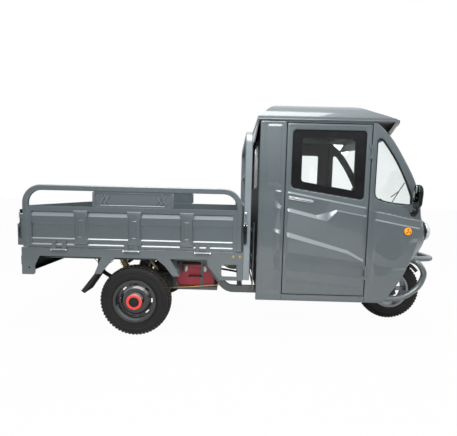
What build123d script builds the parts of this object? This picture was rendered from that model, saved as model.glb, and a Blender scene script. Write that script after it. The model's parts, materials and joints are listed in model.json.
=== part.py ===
from build123d import *

import os
from math import cos, radians, sin, sqrt, tan

# Electric cargo tricycle: a closed cab over the steered front wheel and a flat cargo
# bed with drop sides over the driven rear axle. Millimetres, +X forward, +Y left, +Z up,
# ground at Z 0. Sizes along X are given ahead of the rear axle; at() moves them to the
# vehicle's frame, whose origin is under the middle of the whole vehicle.

# ---------------------------------------------------------------- driving sizes
REAR_AXLE_X = -805.5
WHEELBASE = 2200.0
TRACK = 1000.0
TYRE_R = 274.0
TYRE_W = 108.0
BEAD_R = 152.0
FLANGE_R = 166.0

FIT = 0.3             # between curved faces that meet
CLEAR = 6.0           # round a moving panel
WALL = 26.0           # cab wall and door, skin to lining
GLASS_T = 5.0
PIN_R = 4.0
KNUCKLE_R = 8.0
PIN_FIT = 0.15

# cargo bed
BED_REAR = -835.0
BED_FRONT = 823.0
BED_HALF_W = 600.0
RAIL_TOP = 684.0
RAIL_H = 62.0
RAIL_W = 40.0
HOOP_REAR = -823.0
HOOP_FRONT = 810.0
HOOP_TUBE_W = 42.0
HOOP_TUBE_T = 30.0
HOOP_TOP = 1155.0
HOOP_R = 120.0        # bend of the tube's middle line
PANEL_TOP = 996.0
PANEL_T = 24.0
RACK_TUBE = 49.0
RACK_TOP = 1585.0
RACK_FOOT = 478.0

# chassis
CHASSIS_HALF_W = 390.0     # middle of each rail
CHASSIS_RAIL_W = 44.0
CHASSIS_RAIL_H = 55.0
CHASSIS_HIGH_Z = RAIL_TOP - RAIL_H - CHASSIS_RAIL_H / 2    # middle, under the bed
CHASSIS_LOW_Z = 350.5      # middle of the rail under the cab

# cab
CAB_REAR = 930.0
CAB_HALF_W = 530.0
SILL_Z = 308.0
ROOF_RIM_Z = 1678.0
FLOOR_T = 12.0
FLOOR_Z = CHASSIS_LOW_Z + CHASSIS_RAIL_H / 2 + FLOOR_T
DOOR_REAR = 1130.0
DOOR_FRONT = 1754.0
DOOR_BOTTOM = 362.0
DOOR_TOP = 1650.0
FIREWALL_X = 1800.0
DASH_Z = 985.0

# steering
RAKE = 22.0                # steering axis, back from upright
TRAIL = 70.0               # axis meets the ground this far ahead of the tyre's contact
FORK_HALF_W = 96.0
YOKE_Z = 618.0             # middle of the lower yoke
HEAD_BOTTOM_Z = 650.0
HEAD_TOP_Z = 800.0
BAR_Z = 1060.0


def at(x):
    """X in the vehicle's frame of a place x ahead of the rear axle."""
    return REAR_AXLE_X + x


FRONT_AXLE_X = at(WHEELBASE)


def axis_x(z):
    """X of the steering axis at height z."""
    return FRONT_AXLE_X + TRAIL - z * tan(radians(RAKE))


# The steering axis as a plane whose Z runs up it, with X forward and square to it.
STEER_UP = Vector(-sin(radians(RAKE)), 0, cos(radians(RAKE)))
STEER_FWD = Vector(cos(radians(RAKE)), 0, sin(radians(RAKE)))


def on_axis(z):
    """Plane square to the steering axis where the axis is at height z."""
    return Plane(origin=(axis_x(z), 0, z), x_dir=STEER_FWD, z_dir=STEER_UP)


# ---------------------------------------------------------------- small tools
def block(x0, x1, y0, y1, z0, z1, mode=Mode.ADD):
    """Box between two corners, in the open builder."""
    with Locations(((x0 + x1) / 2, (y0 + y1) / 2, (z0 + z1) / 2)):
        Box(abs(x1 - x0), abs(y1 - y0), abs(z1 - z0), mode=mode)


def rod(start, end, radius, mode=Mode.ADD):
    """Round bar between two points, in the open builder."""
    a, b = Vector(*start), Vector(*end)
    with Locations(Plane(origin=(a + b) * 0.5, z_dir=b - a)):
        Cylinder(radius, (b - a).length, mode=mode)


def bent_tube(points, bend, section_w, section_h, corner, up=(0, 0, 1)):
    """Tube of rounded section swept along straight runs joined by arcs."""
    with BuildLine() as path:
        FilletPolyline(*points, radius=bend)
    with BuildSketch(Plane(origin=path.line @ 0, x_dir=up, z_dir=path.line % 0)) as section:
        if corner * 2 >= section_w:
            Circle(section_w / 2)
        else:
            RectangleRounded(section_h, section_w, corner)
    sweep(section.sketch, path=path.line)


def plate(points, plane, thickness, mode=Mode.ADD):
    """Flat plate with a straight-sided outline, in the open builder."""
    with BuildSketch(plane) as outline:
        with BuildLine():
            Polyline(*points, close=True)
        make_face()
    extrude(outline.sketch, amount=thickness, mode=mode)


def side_plane(y):
    """Plane at y with its X forward and its Y up; its normal runs to -Y."""
    return Plane(origin=(0, y, 0), x_dir=(1, 0, 0), z_dir=(0, -1, 0))


def save(builder, name):
    """Label the piece and write it."""
    builder.part.label = name
    export_step(builder.part, f"parts/{name}.step")


SIDES = (("left", 1), ("right", -1))
os.makedirs("parts", exist_ok=True)

# ---------------------------------------------------------------- wheels
def tyre(x, y, name):
    """Tyre with a rounded crown and bulged walls, its axle along Y."""
    half = TYRE_W / 2
    bead_half = half - 10
    with BuildPart() as body:
        with BuildSketch(Plane(origin=(x, y, TYRE_R), x_dir=(0, 1, 0), z_dir=(1, 0, 0))):
            with BuildLine():
                Polyline((-bead_half, BEAD_R), (bead_half, BEAD_R))
                Spline((bead_half, BEAD_R), (half, BEAD_R + 58), (half - 6, TYRE_R - 22))
                Polyline((half - 6, TYRE_R - 22), (half - 16, TYRE_R - 8))
                ThreePointArc((half - 16, TYRE_R - 8), (0, TYRE_R), (16 - half, TYRE_R - 8))
                Polyline((16 - half, TYRE_R - 8), (6 - half, TYRE_R - 22))
                Spline((6 - half, TYRE_R - 22), (-half, BEAD_R + 58), (-bead_half, BEAD_R))
            make_face()
        revolve(axis=Axis((x, y, TYRE_R), (0, 1, 0)))
    save(body, name)


def wheel_section(x, y, points):
    """Closed half section of a turned part, (along the axle, radius), in the open builder."""
    with BuildSketch(Plane(origin=(x, y, TYRE_R), x_dir=(0, 1, 0), z_dir=(1, 0, 0))) as half:
        with BuildLine():
            Polyline(*points, close=True)
        make_face()
    revolve(half.sketch, axis=Axis((x, y, TYRE_R), (0, 1, 0)))


RIM_WALL = 4.0
RIM_SEAT_R = BEAD_R - FIT
RIM_HALF_W = TYRE_W / 2 - 8
HUB_R = 66.0
DISC_Y = 14.0              # outer face of the rear wheel's disc, from the tyre's middle
DISC_T = 6.0
SLOT_COUNT = 8
SLOT_PITCH_R = 108.0
DRUM_R = 88.0
DRUM_REACH = 40.0          # brake drum, inboard of the tyre's middle
CAP_REACH = 70.0           # hub cap, outboard of the tyre's middle
RING_R = 60.5
CAP_R = 39.5


def rim_barrel(x, y, out):
    """Barrel with two flanges, a round stretch that seats the tyre."""
    edge = RIM_HALF_W + 5
    lip = edge + 5
    points = [
        (-lip, FLANGE_R),
        (-edge, FLANGE_R),
        (-edge, RIM_SEAT_R),
        (edge, RIM_SEAT_R),
        (edge, FLANGE_R),
        (lip, FLANGE_R),
        (lip, RIM_SEAT_R - RIM_WALL),
        (-lip, RIM_SEAT_R - RIM_WALL),
    ]
    wheel_section(x, y, [(out * a, r) for a, r in points])


def rear_rim(x, y, out, name):
    """Pressed steel disc wheel with slots, its hub and its brake drum."""
    with BuildPart() as body:
        rim_barrel(x, y, out)
        inside = RIM_SEAT_R - RIM_WALL + 1
        disc = [
            (DISC_Y - DISC_T, inside),
            (DISC_Y - DISC_T, 122),
            (DISC_Y + 10, 96),
            (DISC_Y + 10, 30),
            (DISC_Y + 10 + DISC_T, 30),
            (DISC_Y + 10 + DISC_T, 98),
            (DISC_Y, 124),
            (DISC_Y, inside),
        ]
        wheel_section(x, y, [(out * a, r) for a, r in disc])
        with Locations(Plane(origin=(x, y, TYRE_R), x_dir=(1, 0, 0), z_dir=(0, 1, 0))):
            with PolarLocations(SLOT_PITCH_R + 16, SLOT_COUNT):
                Box(13, 34, TYRE_W, mode=Mode.SUBTRACT)
        hub_end = CAP_REACH - 14
        hub = [(-DRUM_REACH, 20), (-DRUM_REACH, DRUM_R), (DISC_Y, DRUM_R), (DISC_Y + 8, HUB_R)]
        hub += [(hub_end, HUB_R - 8), (hub_end, CAP_R - FIT), (hub_end + 12, CAP_R - FIT)]
        hub += [(hub_end + 12, 0), (hub_end, 0), (hub_end, 20)]
        wheel_section(x, y, [(out * a, r) for a, r in hub])
    save(body, name)


def hub_ring(x, y, out, name):
    """Coloured ring round the hub cap."""
    with BuildPart() as body:
        near = CAP_REACH - 14
        points = [(near, CAP_R), (near, RING_R), (CAP_REACH - 4, RING_R)]
        points += [(CAP_REACH, RING_R - 4), (CAP_REACH, CAP_R)]
        wheel_section(x, y, [(out * a, r) for a, r in points])
    save(body, name)


FRONT_SPOKES = 6
FRONT_DRUM_R = 70.0
AXLE_R = 10.0


def front_rim(name):
    """Cast wheel with flat spokes and a drum brake in its hub."""
    x, y = FRONT_AXLE_X, 0
    with BuildPart() as body:
        rim_barrel(x, y, 1)
        bore = AXLE_R + PIN_FIT
        hub = [(-42, bore), (-42, 40), (-24, FRONT_DRUM_R), (24, FRONT_DRUM_R), (42, 40), (42, bore)]
        wheel_section(x, y, hub)
        spoke_in = FRONT_DRUM_R - 6
        spoke_out = RIM_SEAT_R - RIM_WALL + 1
        with Locations(Plane(origin=(x, y, TYRE_R), x_dir=(1, 0, 0), z_dir=(0, 1, 0))):
            with PolarLocations((spoke_in + spoke_out) / 2, FRONT_SPOKES):
                Box(spoke_out - spoke_in, 34, 22)
    save(body, name)


tyre(FRONT_AXLE_X, 0, "tyre_front")
front_rim("rim_front")
for side, out in SIDES:
    wheel_y = out * TRACK / 2
    tyre(REAR_AXLE_X, wheel_y, f"tyre_rear_{side}")
    rear_rim(REAR_AXLE_X, wheel_y, out, f"rim_rear_{side}")
    hub_ring(REAR_AXLE_X, wheel_y, out, f"hub_ring_{side}")

# ---------------------------------------------------------------- hinges
HINGE_PIN_OUT = 6.0        # axis of a bed hinge, outside the bed's edge
HINGE_AXIS_Z = 672.0
HINGE_HALF = 24.0          # half the fixed knuckle
HINGE_ARM = 28.0           # each moving knuckle
HINGE_GAP = 0.5


def hinge_reach():
    """Half the length of a hinge, pin included."""
    return HINGE_HALF + HINGE_GAP + HINGE_ARM


def fixed_hinge(centre, along):
    """Knuckle with its pin, on the piece that stays."""
    c, d = Vector(*centre), Vector(*along)
    rod(c - d * HINGE_HALF, c + d * HINGE_HALF, KNUCKLE_R)
    rod(c - d * hinge_reach(), c + d * hinge_reach(), PIN_R)


def moving_knuckles(centre, along, mode=Mode.ADD):
    """Two outer knuckles, on the piece that swings."""
    c, d = Vector(*centre), Vector(*along)
    for way in (1, -1):
        near = c + d * way * (HINGE_HALF + HINGE_GAP)
        rod(near, near + d * way * HINGE_ARM, KNUCKLE_R, mode)


def knuckle_bores(centre, along):
    """Bores for the pin, with its running fit."""
    c, d = Vector(*centre), Vector(*along)
    for way in (1, -1):
        near = c + d * way * (HINGE_HALF + HINGE_GAP / 2)
        rod(near, near + d * way * (HINGE_ARM + 1), PIN_R + PIN_FIT, Mode.SUBTRACT)


# ---------------------------------------------------------------- chassis
CROSS_HIGH = (-700.0, -330.0, 250.0, 480.0)
CROSS_LOW = (790.0, 1250.0)
CROSS_T = 40.0
RAIL_DROP_START = 520.0
RAIL_DROP_END = 700.0
RAIL_NOSE = FIREWALL_X + 125
NECK_FOOT = FIREWALL_X + 50
NECK_R = 26.0
NECK_KNEE = (1915.0, 676.0)
HEAD_R = 34.0
STEERER_R = 19.0
NECK_CROSS = FIREWALL_X + 32

BATTERY_REAR, BATTERY_FRONT = 282.0, 600.0
BATTERY_BOTTOM, BATTERY_TOP = 342.0, 524.0
BATTERY_HALF_W = 328.0
TRAY_H = 29.0
TRAY_LIP = 8.0


def battery_tray():
    """Tray on four straps from the cross members."""
    tray_half = BATTERY_HALF_W + TRAY_LIP
    block(at(BATTERY_REAR - 26), at(BATTERY_FRONT + 24), -tray_half, tray_half,
          BATTERY_BOTTOM - TRAY_H, BATTERY_BOTTOM)
    for x in CROSS_HIGH[2:]:
        for side, out in SIDES:
            block(at(x) + 4, at(x) + 30, out * (BATTERY_HALF_W + 2), out * tray_half,
                  BATTERY_BOTTOM - TRAY_H, CHASSIS_HIGH_Z)


with BuildPart() as chassis_frame:
    battery_tray()
    for side, out in SIDES:
        rail_y = out * CHASSIS_HALF_W
        run = [
            (at(BED_REAR + 60), rail_y, CHASSIS_HIGH_Z),
            (at(RAIL_DROP_START), rail_y, CHASSIS_HIGH_Z),
            (at(RAIL_DROP_END), rail_y, CHASSIS_LOW_Z),
            (at(RAIL_NOSE), rail_y, CHASSIS_LOW_Z),
        ]
        bent_tube(run, 110, CHASSIS_RAIL_W, CHASSIS_RAIL_H, 6)
    for x in CROSS_HIGH:
        z = CHASSIS_HIGH_Z
        block(at(x), at(x + CROSS_T), -CHASSIS_HALF_W, CHASSIS_HALF_W, z - 20, z + 20)
    for x in CROSS_LOW + (NECK_CROSS,):
        z = CHASSIS_LOW_Z
        block(at(x), at(x + CROSS_T), -CHASSIS_HALF_W, CHASSIS_HALF_W, z - 20, z + 20)
    knee = (at(NECK_KNEE[0]), 0, NECK_KNEE[1])
    head_mid_z = (HEAD_BOTTOM_Z + HEAD_TOP_Z) / 2
    rod((at(NECK_FOOT), 0, CHASSIS_LOW_Z), knee, NECK_R)
    with Locations(knee):
        Sphere(NECK_R)
    rod(knee, (axis_x(head_mid_z), 0, head_mid_z), NECK_R)
    head = ((axis_x(HEAD_BOTTOM_Z), 0, HEAD_BOTTOM_Z), (axis_x(HEAD_TOP_Z), 0, HEAD_TOP_Z))
    rod(*head, HEAD_R)
    rod((axis_x(HEAD_BOTTOM_Z - 40), 0, HEAD_BOTTOM_Z - 40),
        (axis_x(HEAD_TOP_Z + 40), 0, HEAD_TOP_Z + 40), STEERER_R + PIN_FIT, Mode.SUBTRACT)
save(chassis_frame, "chassis_frame")

# ---------------------------------------------------------------- cargo bed
FLOOR_SHEET = 4.0
FLOOR_LIFT = 2.0           # the load's own flat, above the rails and inside the gates
FLOOR_REAR, FLOOR_FRONT = -798.0, 786.0
FLOOR_HALF_W = 566.0
RAIL_OUT = BED_HALF_W - 3
RAIL_IN = RAIL_OUT - RAIL_W
BED_CROSS = (-560.0, -300.0, -20.0, 240.0, 520.0)
GATE_HINGES = (-548.0, -10.0, 522.0)
TAIL_HINGES = (-390.0, 0.0, 390.0)
GATE_AXIS_Y = BED_HALF_W + HINGE_PIN_OUT
TAIL_AXIS_X = BED_REAR - KNUCKLE_R - 1

with BuildPart() as bed_frame:
    rail_bottom = RAIL_TOP - RAIL_H
    for side, out in SIDES:
        block(at(BED_REAR), at(BED_FRONT), out * RAIL_IN, out * RAIL_OUT, rail_bottom, RAIL_TOP)
    for x in (BED_REAR, BED_FRONT - RAIL_W):
        block(at(x), at(x + RAIL_W), -RAIL_IN - 5, RAIL_IN + 5, rail_bottom, RAIL_TOP)
    for x in BED_CROSS:
        top = RAIL_TOP - FLOOR_SHEET
        block(at(x), at(x + RAIL_W), -RAIL_IN - 5, RAIL_IN + 5, rail_bottom, top)
    for side, out in SIDES:
        for x in GATE_HINGES:
            axis = (at(x), out * GATE_AXIS_Y, HINGE_AXIS_Z)
            fixed_hinge(axis, (1, 0, 0))
            block(at(x - HINGE_HALF), at(x + HINGE_HALF), out * (RAIL_OUT - 5),
                  out * GATE_AXIS_Y, HINGE_AXIS_Z - KNUCKLE_R + 1, HINGE_AXIS_Z + KNUCKLE_R - 2)
    for y in TAIL_HINGES:
        fixed_hinge((at(TAIL_AXIS_X), y, HINGE_AXIS_Z), (0, 1, 0))
        block(at(TAIL_AXIS_X), at(BED_REAR + 5), y - HINGE_HALF, y + HINGE_HALF,
              HINGE_AXIS_Z - KNUCKLE_R + 1, HINGE_AXIS_Z + KNUCKLE_R - 2)
    block(at(BED_REAR + RAIL_W), at(BED_FRONT - RAIL_W), -RAIL_IN, RAIL_IN,
          RAIL_TOP - FLOOR_SHEET, RAIL_TOP)
    block(at(FLOOR_REAR), at(FLOOR_FRONT), -FLOOR_HALF_W, FLOOR_HALF_W,
          RAIL_TOP - FLOOR_SHEET, RAIL_TOP + FLOOR_LIFT)
save(bed_frame, "bed_frame")

# The pressed sheet of a side gate or the tailgate, as (depth from its outer face, height
# above its bottom edge as a share of the whole height).
PANEL_BOTTOM = RAIL_TOP + CLEAR
PANEL_H = PANEL_TOP - PANEL_BOTTOM
PRESSED = (
    (0.0, 0.0),
    (0.0, 0.06),
    (6.0, 0.09),
    (6.0, 0.20),
    (12.0, 0.23),
    (12.0, 0.56),
    (4.0, 0.60),
    (4.0, 0.76),
    (12.0, 0.85),
    (0.0, 0.88),
    (0.0, 1.0),
)
PILLAR_W = 104.0
PILLAR_LOW = 0.09
PILLAR_HIGH = 0.90
PILLAR_D = 15.0
PILLAR_TAPER = 36.0


def pressed_panel(origin, along, outward, length, end_margin, pillars):
    """Pressed sheet panel standing on its bottom edge.

    origin is the middle of the bottom edge on the outer face, along runs along the edge
    and outward is the way the outer face looks.
    """
    o, d, n = Vector(*origin), Vector(*along), Vector(*outward)
    profile = [(-depth, share * PANEL_H) for depth, share in PRESSED]
    profile += [(-PANEL_T, PANEL_H), (-PANEL_T, 0)]
    start = Plane(origin=o - d * (length / 2), x_dir=n, z_dir=n.cross(Vector(0, 0, 1)))
    run = length if start.z_dir.dot(d) > 0 else -length
    plate(profile, start, run)
    for way in (1, -1):
        with Locations(Plane(
            origin=o + d * way * (length - end_margin) / 2 - n * PANEL_T / 2
            + Vector(0, 0, PANEL_H / 2),
            x_dir=d, z_dir=(0, 0, 1),
        )):
            Box(end_margin, PANEL_T, PANEL_H)
    low, high = PILLAR_LOW * PANEL_H, PILLAR_HIGH * PANEL_H
    for place in pillars:
        foot = o + d * place - n * (PILLAR_D - 2) + Vector(0, 0, (low + high) / 2)
        with BuildSketch(Plane(origin=foot, x_dir=d, z_dir=n)) as base:
            Rectangle(PILLAR_W, high - low)
        extrude(base.sketch, amount=PILLAR_D, taper=PILLAR_TAPER)


GATE_OUT = BED_HALF_W - 3          # outer face of a gate's sheet
GATE_MARGIN = 46.0
GATE_PILLARS = (-386.0, 13.0, 402.0)
STRAP_H = 46.0


BOARD_REAR, BOARD_FRONT = -292.0, 289.0
BOARD_T = 3.0
BOARD_EDGE = 12.0
SLASHES = 2
LATCH_W = 20.0
LATCH_LIFT = 20.0


def top_board(out):
    """Bare pressed board that fills the hoop's middle, with slanted ribs at both ends."""
    board_y = out * (BED_HALF_W - HOOP_TUBE_T / 2)
    low, high = PANEL_TOP, HOOP_TOP - HOOP_TUBE_W
    rear, front = at(BOARD_REAR), at(BOARD_FRONT)
    block(rear, front, board_y - BOARD_T / 2, board_y + BOARD_T / 2, low - 2, high + 2)
    face = Plane(origin=((rear + front) / 2, board_y + out * BOARD_T / 2, (low + high) / 2),
                 x_dir=(1, 0, 0), z_dir=(0, out, 0))
    lift = 1 if face.y_dir.Z > 0 else -1
    with BuildSketch(face) as ribs:
        length, height = front - rear, high - low
        Rectangle(length, height)
        Rectangle(length - 2 * BOARD_EDGE, height - 2 * BOARD_EDGE, mode=Mode.SUBTRACT)
        for way in (1, -1):
            for number in range(SLASHES):
                with Locations((way * (length / 2 - 62 - 34 * number), 0)):
                    Rectangle(14, height - 2 * BOARD_EDGE - 18, rotation=lift * way * -28)
    extrude(ribs.sketch, amount=4)


def gate_latch(out):
    """Toggle latch on the back of the hoop's rear leg."""
    y = out * (BED_HALF_W - HOOP_TUBE_T / 2)
    rear = at(HOOP_REAR)
    block(rear - LATCH_LIFT, rear + 2, y - 10, y + 10, 700, 930)
    block(rear - 2 * LATCH_LIFT, rear, y - 7, y + 7, 700, 860)


def side_gate(side, out):
    """Tube hoop with a pressed sheet in its lower part and the moving hinge halves."""
    tube_y = out * (BED_HALF_W - HOOP_TUBE_T / 2)
    rear = at(HOOP_REAR + HOOP_TUBE_W / 2)
    front = at(HOOP_FRONT - HOOP_TUBE_W / 2)
    top = HOOP_TOP - HOOP_TUBE_W / 2
    with BuildPart() as gate:
        run = [(rear, tube_y, PANEL_BOTTOM), (rear, tube_y, top)]
        run += [(front, tube_y, top), (front, tube_y, PANEL_BOTTOM)]
        bent_tube(run, HOOP_R, HOOP_TUBE_T, HOOP_TUBE_W, 9, up=(1, 0, 0))
        middle = (rear + front) / 2
        pillars = [at(x) - middle for x in GATE_PILLARS]
        pressed_panel((middle, out * GATE_OUT, PANEL_BOTTOM), (1, 0, 0), (0, out, 0),
                      front - rear, GATE_MARGIN, pillars)
        for x in GATE_HINGES:
            axis = (at(x), out * GATE_AXIS_Y, HINGE_AXIS_Z)
            moving_knuckles(axis, (1, 0, 0))
            for way in (1, -1):
                near = at(x) + way * (HINGE_HALF + HINGE_GAP)
                block(near, near + way * HINGE_ARM, out * (GATE_OUT - 4), out * GATE_AXIS_Y,
                      PANEL_BOTTOM, PANEL_BOTTOM + STRAP_H)
                block(near, near + way * HINGE_ARM, out * (RAIL_OUT + 3), out * GATE_AXIS_Y,
                      HINGE_AXIS_Z, PANEL_BOTTOM + 2)
            knuckle_bores(axis, (1, 0, 0))
        top_board(out)
        gate_latch(out)
    save(gate, f"side_gate_{side}")


with BuildPart() as tailgate:
    tail_out = BED_REAR + 9
    pressed_panel((at(tail_out), 0, PANEL_BOTTOM), (0, 1, 0), (-1, 0, 0),
                  2 * (BED_HALF_W - HOOP_TUBE_T - CLEAR - 2), GATE_MARGIN, (-330.0, 0.0, 330.0))
    for y in TAIL_HINGES:
        axis = (at(TAIL_AXIS_X), y, HINGE_AXIS_Z)
        moving_knuckles(axis, (0, 1, 0))
        for way in (1, -1):
            near = y + way * (HINGE_HALF + HINGE_GAP)
            far = near + way * HINGE_ARM
            block(at(TAIL_AXIS_X - KNUCKLE_R), at(TAIL_AXIS_X + 2), near, far,
                  HINGE_AXIS_Z, PANEL_BOTTOM + STRAP_H)
            block(at(TAIL_AXIS_X - KNUCKLE_R), at(tail_out + 3), near, far,
                  PANEL_BOTTOM, PANEL_BOTTOM + STRAP_H)
        knuckle_bores(axis, (0, 1, 0))
save(tailgate, "tailgate")

for side, out in SIDES:
    side_gate(side, out)

RACK_T = 40.0
RACK_BARS = (1010.0, 1290.0)
RACK_BAR_R = 12.5

with BuildPart() as head_rack:
    rack_x = at(BED_FRONT + RACK_TUBE / 2)
    rack_y = BED_HALF_W - RACK_T / 2
    rack_z = RACK_TOP - RACK_TUBE / 2
    arch = [(rack_x, -rack_y, RACK_FOOT), (rack_x, -rack_y, rack_z)]
    arch += [(rack_x, rack_y, rack_z), (rack_x, rack_y, RACK_FOOT)]
    bent_tube(arch, 70, RACK_T, RACK_TUBE, 8, up=(1, 0, 0))
    for z in RACK_BARS:
        rod((rack_x, -rack_y, z), (rack_x, rack_y, z), RACK_BAR_R)
save(head_rack, "head_rack")

with BuildPart() as head_board:
    board_half = BED_HALF_W - HOOP_TUBE_T - CLEAR - 2
    pressed_panel((at(BED_FRONT - RAIL_W + 6), 0, RAIL_TOP), (0, 1, 0), (-1, 0, 0),
                  2 * board_half, GATE_MARGIN, (-330.0, 0.0, 330.0))
save(head_board, "head_board")

CORNER_T = 6.0
CORNER_FOOT = 479.0
HOOK_HOLE = (55.0, 530.0)
HOOK_HOLE_R = 7.0
RAIL_BOTTOM = RAIL_TOP - RAIL_H

BRACKET_REAR = 556.0


def front_bracket_plates():
    """Windowed plates below the rails, at the bed's front corners."""
    for side, out in SIDES:
        face = side_plane(out * (RAIL_OUT - CORNER_T))
        run = CORNER_T if out < 0 else -CORNER_T
        shape = [(BRACKET_REAR, RAIL_BOTTOM), (BED_FRONT, RAIL_BOTTOM), (BED_FRONT, 471)]
        shape += [(650, 471), (560, 580)]
        plate([(at(x), z) for x, z in shape], face, run)
        block(at(665), at(781), out * (RAIL_OUT - 50), out * (RAIL_OUT + 5), 501, 590,
              Mode.SUBTRACT)
        block(at(640), at(BED_FRONT), out * (RAIL_OUT - 40), out * RAIL_OUT, 471, 477)
        block(at(BED_FRONT - CORNER_T), at(BED_FRONT), out * (RAIL_OUT - 40), out * RAIL_OUT,
              471, RAIL_BOTTOM)

STAY_IN = 440.0
STAY_T = 4.0


def mudguard_stay_plates():
    """Folded stays before and behind each rear wheel."""
    for side, out in SIDES:
        face = side_plane(out * (RAIL_OUT - STAY_T))
        run = STAY_T if out < 0 else -STAY_T
        rear = [(-236, RAIL_BOTTOM), (-133, RAIL_BOTTOM), (-168, 585), (-242, 494), (-290, 494)]
        front = [(176, RAIL_BOTTOM), (279, RAIL_BOTTOM), (351, 491), (300, 491), (240, 568)]
        plate([(at(x), z) for x, z in rear], face, run)
        plate([(at(x), z) for x, z in front], face, run)
        for high, low in (((-236, RAIL_BOTTOM), (-290, 494)), ((279, RAIL_BOTTOM), (351, 491))):
            lean = STAY_T if high[0] < 0 else -STAY_T
            wall = [high, low, (low[0] + lean, low[1]), (high[0] + lean, high[1])]
            width = RAIL_OUT - STAY_IN
            plate([(at(x), z) for x, z in wall], side_plane(out * STAY_IN),
                  width if out < 0 else -width)


with BuildPart() as bed_brackets:
    for side, out in SIDES:
        shape = [(BED_REAR, RAIL_BOTTOM), (BED_REAR + 133, RAIL_BOTTOM)]
        shape += [(BED_REAR + 99, 550), (BED_REAR + 99, 492), (BED_REAR + 88, CORNER_FOOT)]
        shape += [(BED_REAR, CORNER_FOOT)]
        run = CORNER_T if out < 0 else -CORNER_T
        plate([(at(x), z) for x, z in shape], side_plane(out * (RAIL_OUT - CORNER_T)), run)
        block(at(BED_REAR), at(BED_REAR + CORNER_T), out * (RAIL_OUT - 110), out * RAIL_OUT,
              CORNER_FOOT, RAIL_BOTTOM)
    for side, out in SIDES:
        hole = (at(BED_REAR + HOOK_HOLE[0]), HOOK_HOLE[1])
        rod((hole[0], out * (RAIL_OUT - 20), hole[1]), (hole[0], out * (RAIL_OUT + 5), hole[1]),
            HOOK_HOLE_R, Mode.SUBTRACT)
    front_bracket_plates()
    mudguard_stay_plates()
save(bed_brackets, "bed_brackets")

PLATE_HOLE_PITCH = 100.0
PLATE_HOLE_Z = 585.0
PLATE_HOLE_R = 3.5

with BuildPart() as lamp_panel:
    block(at(BED_REAR + CORNER_T), at(BED_REAR + CORNER_T + 8), -(RAIL_OUT - 12), RAIL_OUT - 12,
          500, RAIL_BOTTOM)
    block(at(BED_REAR + CORNER_T), at(BED_REAR + 60), -(RAIL_OUT - 12), RAIL_OUT - 12, 500, 504)
    for way in (1, -1):
        y = way * PLATE_HOLE_PITCH / 2
        rod((at(BED_REAR), y, PLATE_HOLE_Z), (at(BED_REAR + 30), y, PLATE_HOLE_Z),
            PLATE_HOLE_R, Mode.SUBTRACT)
save(lamp_panel, "lamp_panel")

LAMP_T = 9.0
with BuildPart() as tail_lamps:
    for side, out in SIDES:
        block(at(BED_REAR - LAMP_T), at(BED_REAR), out * (RAIL_OUT - 100), out * (RAIL_OUT - 3),
              548, RAIL_BOTTOM)
save(tail_lamps, "tail_lamps")

FLAP_T = 6.0
with BuildPart() as mud_flaps:
    for side, out in SIDES:
        flap = [(-290, 494), (-262, 494), (-367, 342), (-394, 360)]
        near = [(at(x) - (FIT if x == -290 else 0), z - FIT) for x, z in flap]
        plate(near, side_plane(out * (STAY_IN + 6)), 145 if out < 0 else -145)
save(mud_flaps, "mud_flaps")

with BuildPart() as front_latches:
    for side, out in SIDES:
        x = at(BED_FRONT + 14)
        y = out * BED_HALF_W
        block(x - LATCH_W / 2, x + LATCH_W / 2, y, y + out * LATCH_LIFT / 2, 733, 1000)
        block(x - LATCH_W / 2 + 3, x + LATCH_W / 2 - 3, y, y + out * LATCH_LIFT, 733, 925)
save(front_latches, "front_latches")

# ---------------------------------------------------------------- rear axle and springs
AXLE_TUBE_R = 35.0
BACKING_T = 7.0
BACKING_CLEAR = 5.0
SPINDLE_R = 20.0 - PIN_FIT
GEAR_R = 96.0
GEAR_HALF_W = 60.0
MOTOR_X = 138.0
MOTOR_Z = 300.0
MOTOR_R = 84.0
SPRING_W = 60.0
LEAF_T = 8.0
LEAF_REACH = (330.0, 250.0, 170.0, 90.0)
SPRING_SAG = 120.0
EYE_R = 16.0
SADDLE_TOP = 334.0

with BuildPart() as rear_axle:
    drum_in = TRACK / 2 - DRUM_REACH - BACKING_CLEAR
    rod((REAR_AXLE_X, -drum_in, TYRE_R), (REAR_AXLE_X, drum_in, TYRE_R), AXLE_TUBE_R)
    spindle = TRACK / 2 + CAP_REACH - 22
    rod((REAR_AXLE_X, -spindle, TYRE_R), (REAR_AXLE_X, spindle, TYRE_R), SPINDLE_R)
    for side, out in SIDES:
        rod((REAR_AXLE_X, out * (drum_in - BACKING_T), TYRE_R),
            (REAR_AXLE_X, out * drum_in, TYRE_R), DRUM_R)
        block(at(-35), at(35), out * (CHASSIS_HALF_W - 32), out * (CHASSIS_HALF_W + 32),
              TYRE_R, SADDLE_TOP)
    side_y = GEAR_HALF_W
    housing = [(-side_y, 0), (-side_y, GEAR_R - 20), (20 - side_y, GEAR_R)]
    housing += [(side_y - 20, GEAR_R), (side_y, GEAR_R - 20), (side_y, 0)]
    wheel_section(REAR_AXLE_X, 0, housing)
    block(at(0), at(MOTOR_X + 30), -GEAR_HALF_W, GEAR_HALF_W, TYRE_R - 60, MOTOR_Z + 60)
save(rear_axle, "rear_axle")

with BuildPart() as drive_motor:
    for way, length in ((-1, 110), (1, 80)):
        start = way * (GEAR_HALF_W + FIT)
        rod((at(MOTOR_X), start, MOTOR_Z), (at(MOTOR_X), start + way * length, MOTOR_Z), MOTOR_R)
save(drive_motor, "drive_motor")

main_reach = LEAF_REACH[0]
leaf_r = (main_reach ** 2 + SPRING_SAG ** 2) / (2 * SPRING_SAG)
leaf_stack = LEAF_T * len(LEAF_REACH)
arc_centre_z = SADDLE_TOP + leaf_stack + leaf_r
eye_z = SADDLE_TOP + leaf_stack + SPRING_SAG - LEAF_T / 2
CHASSIS_HIGH_BOTTOM = CHASSIS_HIGH_Z - CHASSIS_RAIL_H / 2

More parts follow.
